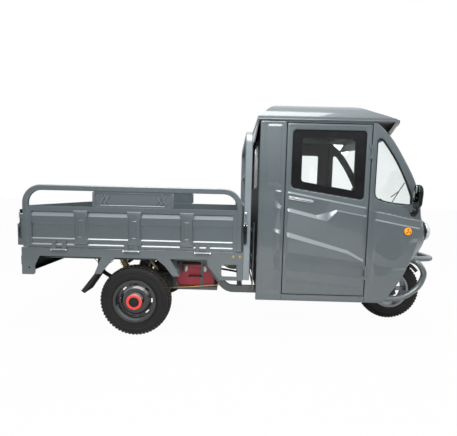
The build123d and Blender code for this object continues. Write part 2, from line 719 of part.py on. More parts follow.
with BuildPart() as leaf_springs:
    for side, out in SIDES:
        middle_y = out * CHASSIS_HALF_W
        near = side_plane(middle_y + SPRING_W / 2)
        for number, reach in enumerate(LEAF_REACH):
            with BuildSketch(near) as leaf:
                with Locations((REAR_AXLE_X, arc_centre_z)):
                    Circle(leaf_r + LEAF_T * (number + 1))
                    Circle(leaf_r + LEAF_T * number, mode=Mode.SUBTRACT)
                with Locations((REAR_AXLE_X, arc_centre_z - leaf_r)):
                    Rectangle(2 * reach, 2 * SPRING_SAG, mode=Mode.INTERSECT)
            extrude(leaf.sketch, amount=SPRING_W)
        for x in (-main_reach, main_reach):
            rod((at(x), middle_y - SPRING_W / 2, eye_z), (at(x), middle_y + SPRING_W / 2, eye_z),
                EYE_R)
            block(at(x) - 12, at(x) + 12, middle_y - 20, middle_y + 20, eye_z,
                  CHASSIS_HIGH_BOTTOM)
save(leaf_springs, "leaf_springs")

SHOCK_Y = 326.0
SHOCK_R = 22.0
SHOCK_FOOT = (-52.0, 345.0)
SHOCK_HEAD = (-176.0, 562.0)
with BuildPart() as shock_absorbers:
    for side, out in SIDES:
        y = out * SHOCK_Y
        foot = Vector(at(SHOCK_FOOT[0]), y, SHOCK_FOOT[1])
        head_end = Vector(at(SHOCK_HEAD[0]), y, SHOCK_HEAD[1])
        middle = foot * 0.45 + head_end * 0.55
        rod(foot, middle, SHOCK_R - 5)
        rod(middle, head_end, SHOCK_R)
        inner = out * (CHASSIS_HALF_W - CHASSIS_RAIL_W / 2)
        rod((head_end.X, y - out * 10, CHASSIS_HIGH_Z - 10), (head_end.X, inner, CHASSIS_HIGH_Z - 10), 9)
        rod(head_end, (head_end.X, y, CHASSIS_HIGH_Z - 10), 12)
        rod((foot.X, y, foot.Z), (at(-20), y, TYRE_R + AXLE_TUBE_R + 1), 9)
save(shock_absorbers, "shock_absorbers")

# ---------------------------------------------------------------- battery and brake rods
with BuildPart() as battery_box:
    block(at(BATTERY_REAR), at(BATTERY_FRONT), -BATTERY_HALF_W, BATTERY_HALF_W,
          BATTERY_BOTTOM, BATTERY_TOP)
    fillet(battery_box.part.edges().filter_by(Axis.Y), 40)
    fillet(battery_box.part.faces().filter_by(Axis.Y).edges(), 12)
save(battery_box, "battery_box")

ROD_Y = 352.0
ROD_R = 4.5
with BuildPart() as brake_rods:
    for side, out in SIDES:
        y = out * ROD_Y
        rod((at(52), y, 312), (at(700), y, 369), ROD_R)
        inner = CHASSIS_HALF_W - CHASSIS_RAIL_W / 2
        rod((at(694), y - out * 12, 368), (at(694), out * inner, 368), 9)
        rod((at(60), y - out * 8, 312), (at(60), y + out * 8, 312), 8)
        block(at(36), at(62), y - 3, y + 3, 306, 318)
save(brake_rods, "brake_rods")

# ---------------------------------------------------------------- cab shell
CAB_TOP = 1668.0
CAB_IN = CAB_HALF_W - WALL
# Front edge of the side panel, (ahead, height), from the sill to the roof.
SIDE_EDGE = (
    (1905.0, SILL_Z),
    (1973.0, 405.0),
    (2042.0, 524.0),
    (2110.0, 688.0),
    (2146.0, 865.0),
    (2147.0, 1029.0),
    (2096.0, 1228.0),
    (1993.0, 1417.0),
    (1887.0, 1571.0),
    (1780.0, CAB_TOP),
)
QUARTER_GLASS = (
    (1796.0, 1108.0),
    (1915.0, 1076.0),
    (2078.0, 1062.0),
    (2074.0, 1130.0),
    (2034.0, 1228.0),
    (1940.0, 1404.0),
    (1845.0, 1536.0),
    (1820.0, 1552.0),
    (1796.0, 1540.0),
)
DOOR_AXIS_X = DOOR_FRONT + CLEAR / 2
DOOR_AXIS_Y = CAB_HALF_W + KNUCKLE_R + 1
DOOR_HINGES = (540.0, 1450.0)
STOP_IN = 16.0
STOP_LAP = 12.0
STOP_GAP = 6.0
GLASS_IN = 8.0              # outer face of a pane, inside the skin


def quarter_outline(inset):
    """Front quarter window, closed, in a side plane's own axes, drawn in by inset."""
    middle = Vector(at(1900), 1270)
    points = []
    for x, z in QUARTER_GLASS:
        corner = Vector(at(x), z)
        corner += (middle - corner).normalized() * inset
        points.append((corner.X, corner.Y))
    with BuildSketch() as outline:
        with BuildLine():
            Polyline(*points[:4])
            Spline(*points[3:7])
            Polyline(*points[6:], points[0])
        make_face()
    return outline.sketch


def cab_side(side, out):
    """Side wall with the door opening, its stop, the quarter window and the hinge halves."""
    with BuildPart() as wall:
        skin = side_plane(out * CAB_HALF_W)
        inward = WALL if out > 0 else -WALL
        edge = [(at(x), z) for x, z in SIDE_EDGE]
        with BuildSketch(skin):
            with BuildLine():
                Polyline(edge[-1], (at(CAB_REAR), CAB_TOP), (at(CAB_REAR), SILL_Z), edge[0])
                Spline(*edge)
            make_face()
            add(quarter_outline(0), mode=Mode.SUBTRACT)
        extrude(amount=inward)
        x0, x1 = at(DOOR_REAR - CLEAR), at(DOOR_FRONT + CLEAR)
        z0, z1 = DOOR_BOTTOM - CLEAR, DOOR_TOP + CLEAR
        face, back = out * CAB_IN, out * (CAB_IN - STOP_IN)
        block(x0, x1, face, out * (CAB_HALF_W + 1), z0, z1, Mode.SUBTRACT)
        block(x0 - 24, x1 + 24, face, back, z0 - 24, CAB_TOP)
        block(x0, x1, face, out * (CAB_IN - STOP_GAP), z0, z1, Mode.SUBTRACT)
        block(x0 + STOP_LAP, x1 - STOP_LAP, face, back - out, z0 + STOP_LAP, z1 - STOP_LAP,
              Mode.SUBTRACT)
        add(roof_outer, mode=Mode.SUBTRACT)
        for z in DOOR_HINGES:
            fixed_hinge((at(DOOR_AXIS_X), out * DOOR_AXIS_Y, z), (0, 0, 1))
            block(at(DOOR_AXIS_X), at(DOOR_AXIS_X + 20), out * (CAB_HALF_W - 3),
                  out * (DOOR_AXIS_Y + 1), z - HINGE_HALF, z + HINGE_HALF)
    save(wall, f"cab_side_{side}")


def flat_glass(outline, out):
    """Pane standing inside a side wall's thickness, in the open builder."""
    with BuildSketch(side_plane(out * (CAB_HALF_W - GLASS_IN))) as pane:
        add(outline)
    extrude(pane.sketch, amount=GLASS_T * out)


REAR_WINDOW_HALF_W = 340.0
REAR_WINDOW = (1170.0, 1560.0)

with BuildPart() as cab_rear_wall:
    block(at(CAB_REAR), at(CAB_REAR + WALL), FIT - CAB_IN, CAB_IN - FIT,
          FLOOR_Z - FLOOR_T, CAB_TOP)
    with BuildSketch(Plane.YZ.offset(at(CAB_REAR) - 1)) as window:
        with Locations((0, sum(REAR_WINDOW) / 2)):
            RectangleRounded(2 * REAR_WINDOW_HALF_W, REAR_WINDOW[1] - REAR_WINDOW[0], 40)
    extrude(amount=WALL + 2, mode=Mode.SUBTRACT)
save(cab_rear_wall, "cab_rear_wall")

with BuildPart() as fixed_glass:
    with BuildSketch(Plane.YZ.offset(at(CAB_REAR + 10))):
        with Locations((0, sum(REAR_WINDOW) / 2)):
            height = REAR_WINDOW[1] - REAR_WINDOW[0]
            RectangleRounded(2 * REAR_WINDOW_HALF_W - 2 * FIT, height - 2 * FIT, 40)
    extrude(amount=GLASS_T)
    for side, out in SIDES:
        flat_glass(quarter_outline(FIT), out)
save(fixed_glass, "fixed_glass")

FIREWALL_T = 12.0
with BuildPart() as cab_floor:
    block(at(CAB_REAR + WALL + FIT), at(FIREWALL_X), FIT - CAB_IN, CAB_IN - FIT,
          FLOOR_Z - FLOOR_T, FLOOR_Z)
    for side, out in SIDES:
        block(at(CAB_REAR + WALL + FIT), at(FIREWALL_X), out * (CAB_IN - 60),
              out * (CAB_IN - FIT), SILL_Z, FLOOR_Z)
    for side, out in SIDES:
        stop_x0 = at(DOOR_REAR - CLEAR - 24 - FIT)
        block(stop_x0, at(FIREWALL_X), out * (CAB_IN - STOP_IN - FIT), out * CAB_IN,
              SILL_Z - 1, FLOOR_Z + 1, Mode.SUBTRACT)
    block(at(FIREWALL_X), at(FIREWALL_X + FIREWALL_T), FIT - CAB_IN, CAB_IN - FIT,
          FLOOR_Z - FLOOR_T, DASH_Z)
save(cab_floor, "cab_floor")

# ---------------------------------------------------------------- nose and windscreen
# (height, side edge ahead, how far the middle bulges past it)
NOSE_ROWS = (
    (340.0, 1930.0, 36.0),
    (405.0, 1973.0, 52.0),
    (524.0, 2042.0, 98.0),
    (620.0, 2086.0, 145.0),
    (700.0, 2113.0, 172.0),
    (790.0, 2137.0, 183.0),
    (865.0, 2146.0, 168.0),
    (945.0, 2149.0, 132.0),
    (1030.0, 2147.0, 100.0),
)
SCREEN_ROWS = (
    (1030.0 + FIT, 2147.0, 100.0),
    (1130.0, 2128.0, 82.0),
    (1228.0, 2096.0, 72.0),
    (1417.0, 1993.0, 60.0),
    (1571.0, 1887.0, 50.0),
    (1700.0, 1768.0, 46.0),
)
NOSE_T = 18.0
BULGE_POWER = 3.5
BULGE_SHARE = 1.25
STATIONS = (1.0, 0.9, 0.77, 0.6, 0.36)


def bulge(y):
    """Share of a row's bulge at y, none at the side wall."""
    return BULGE_SHARE * (1 - (abs(y) / CAB_IN) ** BULGE_POWER)


def front_x(y, z, rows):
    """X of the outer front skin, between the rows above."""
    for (z0, x0, b0), (z1, x1, b1) in zip(rows, rows[1:]):
        if z0 <= z <= z1:
            share = (z - z0) / (z1 - z0)
            return at(x0 + (x1 - x0) * share + bulge(y) * (b0 + (b1 - b0) * share))
    raise ValueError("height outside the front skin")


def front_skin(rows, thickness):
    """Curved sheet across the cab's front, lofted from side to side."""
    half = CAB_IN - FIT
    shares = STATIONS + (0.0,) + tuple(-share for share in reversed(STATIONS))
    with BuildPart() as skin:
        for share in shares:
            y = half * share
            outer = [(at(x + b * bulge(y)), z) for z, x, b in rows]
            inner = [(x - thickness, z) for x, z in outer]
            with BuildSketch(side_plane(y)):
                with BuildLine():
                    Spline(*outer)
                    Line(outer[-1], inner[-1])
                    Spline(*reversed(inner))
                    Line(inner[0], outer[0])
                make_face()
        loft()
    return skin.part


ARCH_HALF_W = 318.0
ARCH_TOP = 645.0
HEADLAMP_Y = 300.0
HEADLAMP_Z = 847.0
HEADLAMP_R = 89.0
HEADLAMP_TIP = 2354.0
LENS_R = 80.0
LENS_RISE = 38.0
BEZEL_BACK = 2270.0

nose_sheet = front_skin(NOSE_ROWS, NOSE_T)
with BuildPart() as cab_nose:
    add(nose_sheet)
    with BuildSketch(Plane.YZ.offset(at(1700))):
        with Locations((0, ARCH_TOP - 300)):
            RectangleRounded(2 * ARCH_HALF_W, 600, 20)
    extrude(amount=900, mode=Mode.SUBTRACT)
    for side, out in SIDES:
        rod((at(BEZEL_BACK - 60), out * HEADLAMP_Y, HEADLAMP_Z),
            (at(HEADLAMP_TIP), out * HEADLAMP_Y, HEADLAMP_Z), HEADLAMP_R + FIT, Mode.SUBTRACT)
save(cab_nose, "cab_nose")


def lamp_turned(y, points):
    """Part turned about a headlamp's axis, (ahead, radius)."""
    with BuildSketch(Plane(origin=(0, y, HEADLAMP_Z), x_dir=(1, 0, 0), z_dir=(0, -1, 0))) as half:
        with BuildLine():
            Polyline(*[(at(x), r) for x, r in points], close=True)
        make_face()
    revolve(half.sketch, axis=Axis((0, y, HEADLAMP_Z), (1, 0, 0)))


with BuildPart() as headlamp_bezels:
    for side, out in SIDES:
        front = HEADLAMP_TIP - LENS_RISE + 4
        ring = [(BEZEL_BACK, LENS_R), (BEZEL_BACK, HEADLAMP_R), (front - 8, HEADLAMP_R)]
        ring += [(front, HEADLAMP_R - 6), (front, LENS_R)]
        lamp_turned(out * HEADLAMP_Y, ring)
save(headlamp_bezels, "headlamp_bezels")

with BuildPart() as headlamp_lenses:
    for side, out in SIDES:
        rim_x = HEADLAMP_TIP - LENS_RISE
        edge_r = LENS_R - FIT
        dome_r = (edge_r ** 2 + LENS_RISE ** 2) / (2 * LENS_RISE)
        middle_x = HEADLAMP_TIP - dome_r + sqrt(dome_r ** 2 - edge_r ** 2 / 4)
        with BuildSketch(Plane(origin=(0, out * HEADLAMP_Y, HEADLAMP_Z), x_dir=(1, 0, 0),
                               z_dir=(0, -1, 0))) as half:
            with BuildLine():
                Polyline((at(HEADLAMP_TIP), 0), (at(BEZEL_BACK), 0), (at(BEZEL_BACK), edge_r),
                         (at(rim_x), edge_r))
                ThreePointArc((at(rim_x), edge_r), (at(middle_x), edge_r / 2),
                              (at(HEADLAMP_TIP), 0))
            make_face()
        revolve(half.sketch, axis=Axis((0, out * HEADLAMP_Y, HEADLAMP_Z), (1, 0, 0)))
save(headlamp_lenses, "headlamp_lenses")

# ---------------------------------------------------------------- roof
ROOF_SIDE = (
    (905.0, ROOF_RIM_Z + 12),
    (935.0, 1713.0),
    (970.0, 1746.0),
    (1010.0, 1781.0),
    (1060.0, 1808.0),
    (1230.0, 1830.0),
    (1454.0, 1838.0),
    (1580.0, 1826.0),
    (1680.0, 1790.0),
    (1760.0, 1752.0),
    (1850.0, 1722.0),
    (1962.0, 1682.0),
)
VISOR_LOW = (1901.0, 1588.0)
VISOR_BACK = (1938.0, CAB_TOP)
VISOR_T = 11.0
VISOR_BOW = 88.0            # how far the visor's middle stands ahead of its ends
VISOR_END = 500.0
BOW_FROM = 1560.0
ROOF_HALF_W = 546.0
ROOF_SHELL = 14.0
ROOF_CAVITY_FRONT = 1745.0
ROOF_STATIONS = (1.0, 0.915, 0.82, 0.68, 0.45)


def roof_form(inset):
    """Solid form of the roof: side outlines bowed ahead at the visor, crossed with its end."""
    half = ROOF_HALF_W - inset
    rim = ROOF_RIM_Z + 16
    with BuildPart() as form:
        for share in ROOF_STATIONS + (0.0,) + tuple(-share for share in reversed(ROOF_STATIONS)):
            y = half * share
            bow = VISOR_BOW * (1 - (abs(y) / VISOR_END) ** 2.9)
            tops = []
            for x, z in ROOF_SIDE:
                part_way = max(0.0, (x - BOW_FROM) / (ROOF_SIDE[-1][0] - BOW_FROM))
                tops.append((at(x + bow * part_way), z - inset))
            with BuildSketch(side_plane(y)):
                with BuildLine():
                    Polyline(tops[-1], (at(VISOR_LOW[0] + bow), VISOR_LOW[1]),
                             (at(VISOR_LOW[0] - VISOR_T + bow), VISOR_LOW[1] + 6),
                             (at(VISOR_BACK[0] + bow), VISOR_BACK[1]),
                             (tops[0][0], CAB_TOP), tops[0])
                    Spline(*tops)
                make_face()
        loft()
        shoulder = [(half - 12, rim + 6), (half - 44, 1752 - inset), (half - 104, 1793 - inset),
                    (half - 246, 1826 - inset)]
        with BuildSketch(Plane.YZ.offset(at(0))):
            with BuildLine():
                Polyline((-half, VISOR_LOW[1] - 5), (half, VISOR_LOW[1] - 5), (half, rim))
                Polyline((half, rim), shoulder[0])
                Spline(*shoulder, (0, 1841 - inset), *[(-y, z) for y, z in reversed(shoulder)])
                Polyline((12 - half, rim + 6), (-half, rim), (-half, VISOR_LOW[1] - 5))
            make_face()
        extrude(amount=2400, mode=Mode.INTERSECT)
    return form.part


roof_outer = roof_form(0)
roof_inner = roof_form(ROOF_SHELL)
DRIP_T = 8.0
with BuildPart() as roof_cavity:
    add(roof_inner)
    cavity_half = CAB_IN - 4
    block(at(CAB_REAR + WALL + 6), at(ROOF_CAVITY_FRONT), -cavity_half, cavity_half,
          CAB_TOP - 1, 1900, Mode.INTERSECT)

with BuildPart() as roof:
    add(roof_outer)
    add(roof_cavity.part, mode=Mode.SUBTRACT)
    drip = [(919, ROOF_RIM_Z), (919 - DRIP_T, ROOF_RIM_Z + 6), (887 - 4, 1512), (887 + 4, 1509)]
    plate([(at(x), z) for x, z in drip], side_plane(ROOF_HALF_W - 8), 2 * (ROOF_HALF_W - 8))
save(roof, "roof")

screen_sheet = front_skin(SCREEN_ROWS, GLASS_T)
with BuildPart() as windscreen:
    add(screen_sheet)
    add(roof_outer.moved(Location((0, 0, -FIT))), mode=Mode.SUBTRACT)
    block(at(1500), at(2400), -CAB_HALF_W, CAB_HALF_W, CAB_TOP - FIT, 1900, Mode.SUBTRACT)
save(windscreen, "windscreen")

for side, out in SIDES:
    cab_side(side, out)

# ---------------------------------------------------------------- doors
PANE = ((1169.0, 1174.0), (1718.0, 1092.0), (1718.0, 1605.0), (1169.0, 1605.0))
PANE_CLEAR = ((1244.0, 1222.0), (1642.0, 1160.0), (1642.0, 1544.0), (1244.0, 1544.0))
PANE_R = 34.0
CLEAR_R = 22.0
HANDLE = ((1151.0, 1088.0), (1341.0, 1062.0), (1343.0, 1086.0), (1153.0, 1114.0))
HANDLE_T = 14.0


def rounded_outline(points, radius, inset=0.0):
    """Straight-sided outline with rounded corners, in a side plane's own axes."""
    with BuildSketch() as outline:
        with BuildLine():
            Polyline(*[(at(x), z) for x, z in points], close=True)
        make_face()
        if inset:
            offset(amount=-inset, kind=Kind.INTERSECTION)
        fillet(outline.vertices(), radius)
    return outline.sketch


def door(side, out):
    """Door skin and lining with the pane's opening and the moving hinge halves."""
    with BuildPart() as leaf:
        with BuildSketch(side_plane(out * CAB_HALF_W)):
            middle_x = at((DOOR_REAR + DOOR_FRONT) / 2)
            with Locations((middle_x, (DOOR_BOTTOM + DOOR_TOP) / 2)):
                Rectangle(DOOR_FRONT - DOOR_REAR, DOOR_TOP - DOOR_BOTTOM)
            add(rounded_outline(PANE_CLEAR, CLEAR_R), mode=Mode.SUBTRACT)
        extrude(amount=WALL * out)
        with BuildSketch(side_plane(out * (CAB_HALF_W + 1))) as recess:
            add(rounded_outline(PANE, PANE_R))
        extrude(recess.sketch, amount=(1 + GLASS_IN + GLASS_T) * out, mode=Mode.SUBTRACT)
        for z in DOOR_HINGES:
            axis = (at(DOOR_AXIS_X), out * DOOR_AXIS_Y, z)
            moving_knuckles(axis, (0, 0, 1))
            for way in (1, -1):
                near = z + way * (HINGE_HALF + HINGE_GAP)
                block(at(DOOR_AXIS_X), at(DOOR_AXIS_X - 22), out * (CAB_HALF_W - 3),
                      out * (DOOR_AXIS_Y + 1), near, near + way * HINGE_ARM)
            knuckle_bores(axis, (0, 0, 1))
    save(leaf, f"door_{side}")


for side, out in SIDES:
    door(side, out)
    with BuildPart() as door_glass:
        flat_glass(rounded_outline(PANE, PANE_R - FIT, FIT), out)
    save(door_glass, f"door_glass_{side}")
    with BuildPart() as handle:
        with BuildSketch(side_plane(out * (CAB_HALF_W + (HANDLE_T if out > 0 else 0)))):
            add(rounded_outline(HANDLE, 9))
        extrude(amount=HANDLE_T)
    save(handle, f"door_handle_{side}")

# ---------------------------------------------------------------- inside the cab
SEAT_REAR = CAB_REAR + WALL + FIT
SEAT_FRONT = 1340.0
SEAT_HALF_W = CAB_IN - STOP_IN - 8
SEAT_BASE_TOP = 640.0
CUSHION_TOP = 745.0
CUSHION_HALF_W = 440.0
BACK_TOP = 1230.0
BACK_T = 85.0

with BuildPart() as seat_base:
    block(at(SEAT_REAR), at(SEAT_FRONT - 40), -SEAT_HALF_W, SEAT_HALF_W, FLOOR_Z, SEAT_BASE_TOP)
    block(at(SEAT_REAR + 8), at(SEAT_FRONT - 48), 8 - SEAT_HALF_W, SEAT_HALF_W - 8, FLOOR_Z,
          SEAT_BASE_TOP - 4, Mode.SUBTRACT)
save(seat_base, "seat_base")

with BuildPart() as seat_pads:
    block(at(SEAT_REAR + 20), at(SEAT_FRONT), -CUSHION_HALF_W, CUSHION_HALF_W,
          SEAT_BASE_TOP + FIT, CUSHION_TOP)
    fillet(seat_pads.part.edges().filter_by(Axis.Y), 28)
    block(at(SEAT_REAR), at(SEAT_REAR + BACK_T), -CUSHION_HALF_W, CUSHION_HALF_W,
          CUSHION_TOP + 6, BACK_TOP)
save(seat_pads, "seat_pads")

DASH_TOP = 1022.0
DASH_REAR = 1790.0
COLUMN_HOLE_R = 34.0
with BuildPart() as dashboard:
    with BuildSketch(Plane.XY.offset(DASH_Z)):
        with BuildLine():
            half = CAB_IN - FIT
            Polyline((at(2104), -half + 4), (at(DASH_REAR), -half + 4), (at(DASH_REAR), half - 4),
                     (at(2104), half - 4))
            Spline((at(2104), half - 4), (at(2178), half * 0.78), (at(2205), half * 0.4),
                   (at(2212), 0), (at(2205), -half * 0.4), (at(2178), -half * 0.78),
                   (at(2104), -half + 4))
        make_face()
    extrude(amount=DASH_TOP - DASH_Z)
    for side, out in SIDES:
        block(at(DASH_REAR - 1), at(DOOR_FRONT + CLEAR + 24 + FIT), out * (CAB_IN - STOP_IN - FIT),
              out * CAB_IN, DASH_Z - 1, DASH_TOP + 1, Mode.SUBTRACT)
    rod((axis_x(DASH_Z - 40), 0, DASH_Z - 40), (axis_x(DASH_TOP + 40), 0, DASH_TOP + 40),
        COLUMN_HOLE_R, Mode.SUBTRACT)
save(dashboard, "dashboard")

# ---------------------------------------------------------------- steering and fork
AXLE_FORWARD = (FRONT_AXLE_X - axis_x(TYRE_R)) * cos(radians(RAKE))
LEG_R = 24.0
STANCHION_R = 17.0
LEG_BOTTOM = -28.0         # along the leg, below the axle
SLIDER_TOP = 210.0
LEG_TOP = 392.0
YOKE_T = 26.0
COLUMN_R = 16.0
FRONT_AXLE_OUT = 34.0


def on_leg(out, along):
    """Point on a fork leg, measured up the leg from the axle."""
    foot = Vector(FRONT_AXLE_X, out * FORK_HALF_W, TYRE_R)
    return foot + STEER_UP * along


with BuildPart() as front_fork:
    yoke = on_axis(YOKE_Z)
    for side, out in SIDES:
        rod(on_leg(out, LEG_BOTTOM), on_leg(out, SLIDER_TOP), LEG_R)
        rod(on_leg(out, SLIDER_TOP), on_leg(out, LEG_TOP), STANCHION_R)
    with Locations(yoke):
        with Locations((AXLE_FORWARD / 2, 0, 0)):
            Box(AXLE_FORWARD + 56, 2 * FORK_HALF_W + 56, YOKE_T)
    rod((axis_x(YOKE_Z), 0, YOKE_Z), (axis_x(HEAD_TOP_Z), 0, HEAD_TOP_Z), STEERER_R)
    rod((axis_x(HEAD_TOP_Z), 0, HEAD_TOP_Z), (axis_x(BAR_Z), 0, BAR_Z), COLUMN_R)
    reach = FORK_HALF_W + FRONT_AXLE_OUT
    rod((FRONT_AXLE_X, -reach, TYRE_R), (FRONT_AXLE_X, reach, TYRE_R), AXLE_R)
save(front_fork, "front_fork")

BAR_R = 11.0
GRIP_R = 17.0
GRIP_L = 115.0
BAR_SWEEP = 96.0
BAR_RISE = 26.0
BAR_HALF_W = 320.0
BAR_MIDDLE = on_axis(BAR_Z).origin + STEER_UP * (BAR_R + 6)


def bar_point(back, across, rise):
    """Point of the handlebar, from the middle of its clamp."""
    return BAR_MIDDLE - STEER_FWD * back + STEER_UP * rise + Vector(0, across, 0)


with BuildPart() as handlebar:
    with Locations(on_axis(BAR_Z)):
        with Locations((0, 0, BAR_R + 6)):
            Box(62, 92, 2 * BAR_R + 12 - 2 * FIT)
    half_run = [(BAR_SWEEP, BAR_HALF_W, BAR_RISE), (BAR_SWEEP * 0.4, 200, BAR_RISE), (0, 90, 0)]
    right = [bar_point(back, -across, rise) for back, across, rise in half_run]
    left = [bar_point(back, across, rise) for back, across, rise in reversed(half_run)]
    bent_tube(right + left, 40, 2 * BAR_R, 2 * BAR_R, BAR_R)
    for points in (right, left[::-1]):
        inward = (points[1] - points[0]).normalized()
        rod(points[0] - inward * 4, points[0] + inward * GRIP_L, GRIP_R)
    with Locations(on_axis(BAR_Z)):
        with Locations((52, 0, 38)):
            Box(60, 150, 56)
save(handlebar, "handlebar")

GUARD_R = 298.0
GUARD_T = 4.0
GUARD_HALF_W = 66.0
GUARD_LIP = 26.0
GUARD_FROM = 38.0
GUARD_TO = 148.0
with BuildPart() as front_mudguard:
    centre = (FRONT_AXLE_X, TYRE_R)
    with BuildSketch(side_plane(GUARD_HALF_W)):
        with Locations(centre):
            Circle(GUARD_R + GUARD_T)
            Circle(GUARD_R - GUARD_LIP, mode=Mode.SUBTRACT)
        with BuildLine():
            far = 2 * GUARD_R
            ends = [(far * cos(radians(a)), far * sin(radians(a))) for a in (GUARD_FROM, 83, GUARD_TO)]
            Polyline(centre, *[(centre[0] + x, centre[1] + z) for x, z in ends], close=True)
        make_face(mode=Mode.INTERSECT)
    extrude(amount=2 * GUARD_HALF_W)
    with BuildSketch(side_plane(GUARD_HALF_W - GUARD_T)):
        with Locations(centre):
            Circle(GUARD_R)
    extrude(amount=2 * (GUARD_HALF_W - GUARD_T), mode=Mode.SUBTRACT)
    for side, out in SIDES:
        leg = on_leg(out, SLIDER_TOP - 30)
        near = Vector(leg.X, out * (FORK_HALF_W - LEG_R - FIT), leg.Z)
        far_end = Vector(leg.X, out * (GUARD_HALF_W - GUARD_T), leg.Z)
        rod(near, far_end, 14)
        rod(far_end, Vector(leg.X, out * (GUARD_HALF_W - GUARD_T / 2), TYRE_R + GUARD_R - 14), 3)
save(front_mudguard, "front_mudguard")

# ---------------------------------------------------------------- front fittings
BUMPER_R = 22.5
BUMPER_TIP = 2455.0
BUMPER_Z = 612.0
BUMPER_Y = 285.0
with BuildPart() as bumper:
    side_run = [(1900, 385, CHASSIS_LOW_Z + CHASSIS_RAIL_H / 2 + BUMPER_R - 5), (2060, 318, 556)]
    side_run += [(2150, BUMPER_Y, BUMPER_Z), (BUMPER_TIP - BUMPER_R, BUMPER_Y, BUMPER_Z)]
    right = [(at(x), -y, z) for x, y, z in side_run]
    left = [(at(x), y, z) for x, y, z in reversed(side_run)]
    bent_tube(right + left, 45, 2 * BUMPER_R, 2 * BUMPER_R, BUMPER_R)
    for side, out in SIDES:
        hoop = [(2225, BUMPER_Y, BUMPER_Z - 6), (2262, 345, 582), (2325, 352, 508)]
        hoop += [(2270, 350, 375), (2160, 350, 292), (2030, 372, 284), (1890, 388, 300)]
        bent_tube([(at(x), out * y, z) for x, y, z in hoop], 30, 2 * BUMPER_R, 2 * BUMPER_R,
                  BUMPER_R)
save(bumper, "bumper")

SIGNAL_X = 2058.0
SIGNAL_Z = 867.0
SIGNAL_R = 30.0
SIGNAL_T = 18.0
with BuildPart() as side_signals:
    for side, out in SIDES:
        with Locations(Plane(origin=(at(SIGNAL_X), out * CAB_HALF_W, SIGNAL_Z), z_dir=(0, out, 0))):
            Cylinder(SIGNAL_R, SIGNAL_T, align=(Align.CENTER, Align.CENTER, Align.MIN))
save(side_signals, "side_signals")

MIRROR_X = (2060.0, 2096.0)
MIRROR_Z = (1036.0, 1216.0)
MIRROR_Y = (568.0, 660.0)
with BuildPart() as mirrors:
    for side, out in SIDES:
        block(at(MIRROR_X[0]), at(MIRROR_X[1]), out * MIRROR_Y[0], out * MIRROR_Y[1], *MIRROR_Z)
    fillet(mirrors.part.edges().filter_by(Axis.X), 30)
    fillet(mirrors.part.faces().sort_by(Axis.X)[-2:].edges(), 16)
    for side, out in SIDES:
        base = (at(2094), out * (CAB_HALF_W + 6), 1005)
        elbow = (at(2094), out * (CAB_HALF_W + 42), 1010)
        rod(base, elbow, 11)
        rod(elbow, (at(2086), out * (MIRROR_Y[0] + 20), MIRROR_Z[0] + 12), 10)
        rod((at(2094), out * CAB_HALF_W, 1005), (at(2094), out * (CAB_HALF_W + 12), 1005), 26)
save(mirrors, "mirrors")

WIPER_GAP = 9.0
WIPER_FOOT = (142.0, 1062.0)
WIPER_BEND = (-55.0, 1178.0)
BLADE_LOW = (110.0, 1124.0)
BLADE_TOP = (-220.0, 1243.0)


def over_screen(y, z, gap):
    """Point a gap ahead of the windscreen's outer face."""
    return Vector(front_x(y, z, SCREEN_ROWS) + gap, y, z)


with BuildPart() as wiper:
    foot = over_screen(*WIPER_FOOT, 0)
    across = over_screen(WIPER_FOOT[0] + 5, WIPER_FOOT[1], 0) - foot
    upward = over_screen(WIPER_FOOT[0], WIPER_FOOT[1] + 5, 0) - foot
    out_of_screen = across.cross(upward).normalized()
    pivot = foot + out_of_screen * WIPER_GAP
    rod(foot - out_of_screen * 2, pivot + out_of_screen * 6, 9)
    arm_end = over_screen(*WIPER_BEND, 2 * WIPER_GAP)
    rod(pivot, arm_end, 4)
    rod(over_screen(*BLADE_LOW, WIPER_GAP), arm_end, 4)
    rod(arm_end, over_screen(*BLADE_TOP, WIPER_GAP), 4)
    add(screen_sheet, mode=Mode.SUBTRACT)
save(wiper, "wiper")
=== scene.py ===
import json
from math import atan2, cos, exp, pi, radians, sin, sqrt, tan

import bmesh
import bpy
import numpy as np
from bpy.props import FloatProperty, FloatVectorProperty, IntProperty, PointerProperty
from bpy.types import Operator, Panel, PropertyGroup
from mathutils import Matrix, Vector, noise
from mathutils.geometry import delaunay_2d_cdt

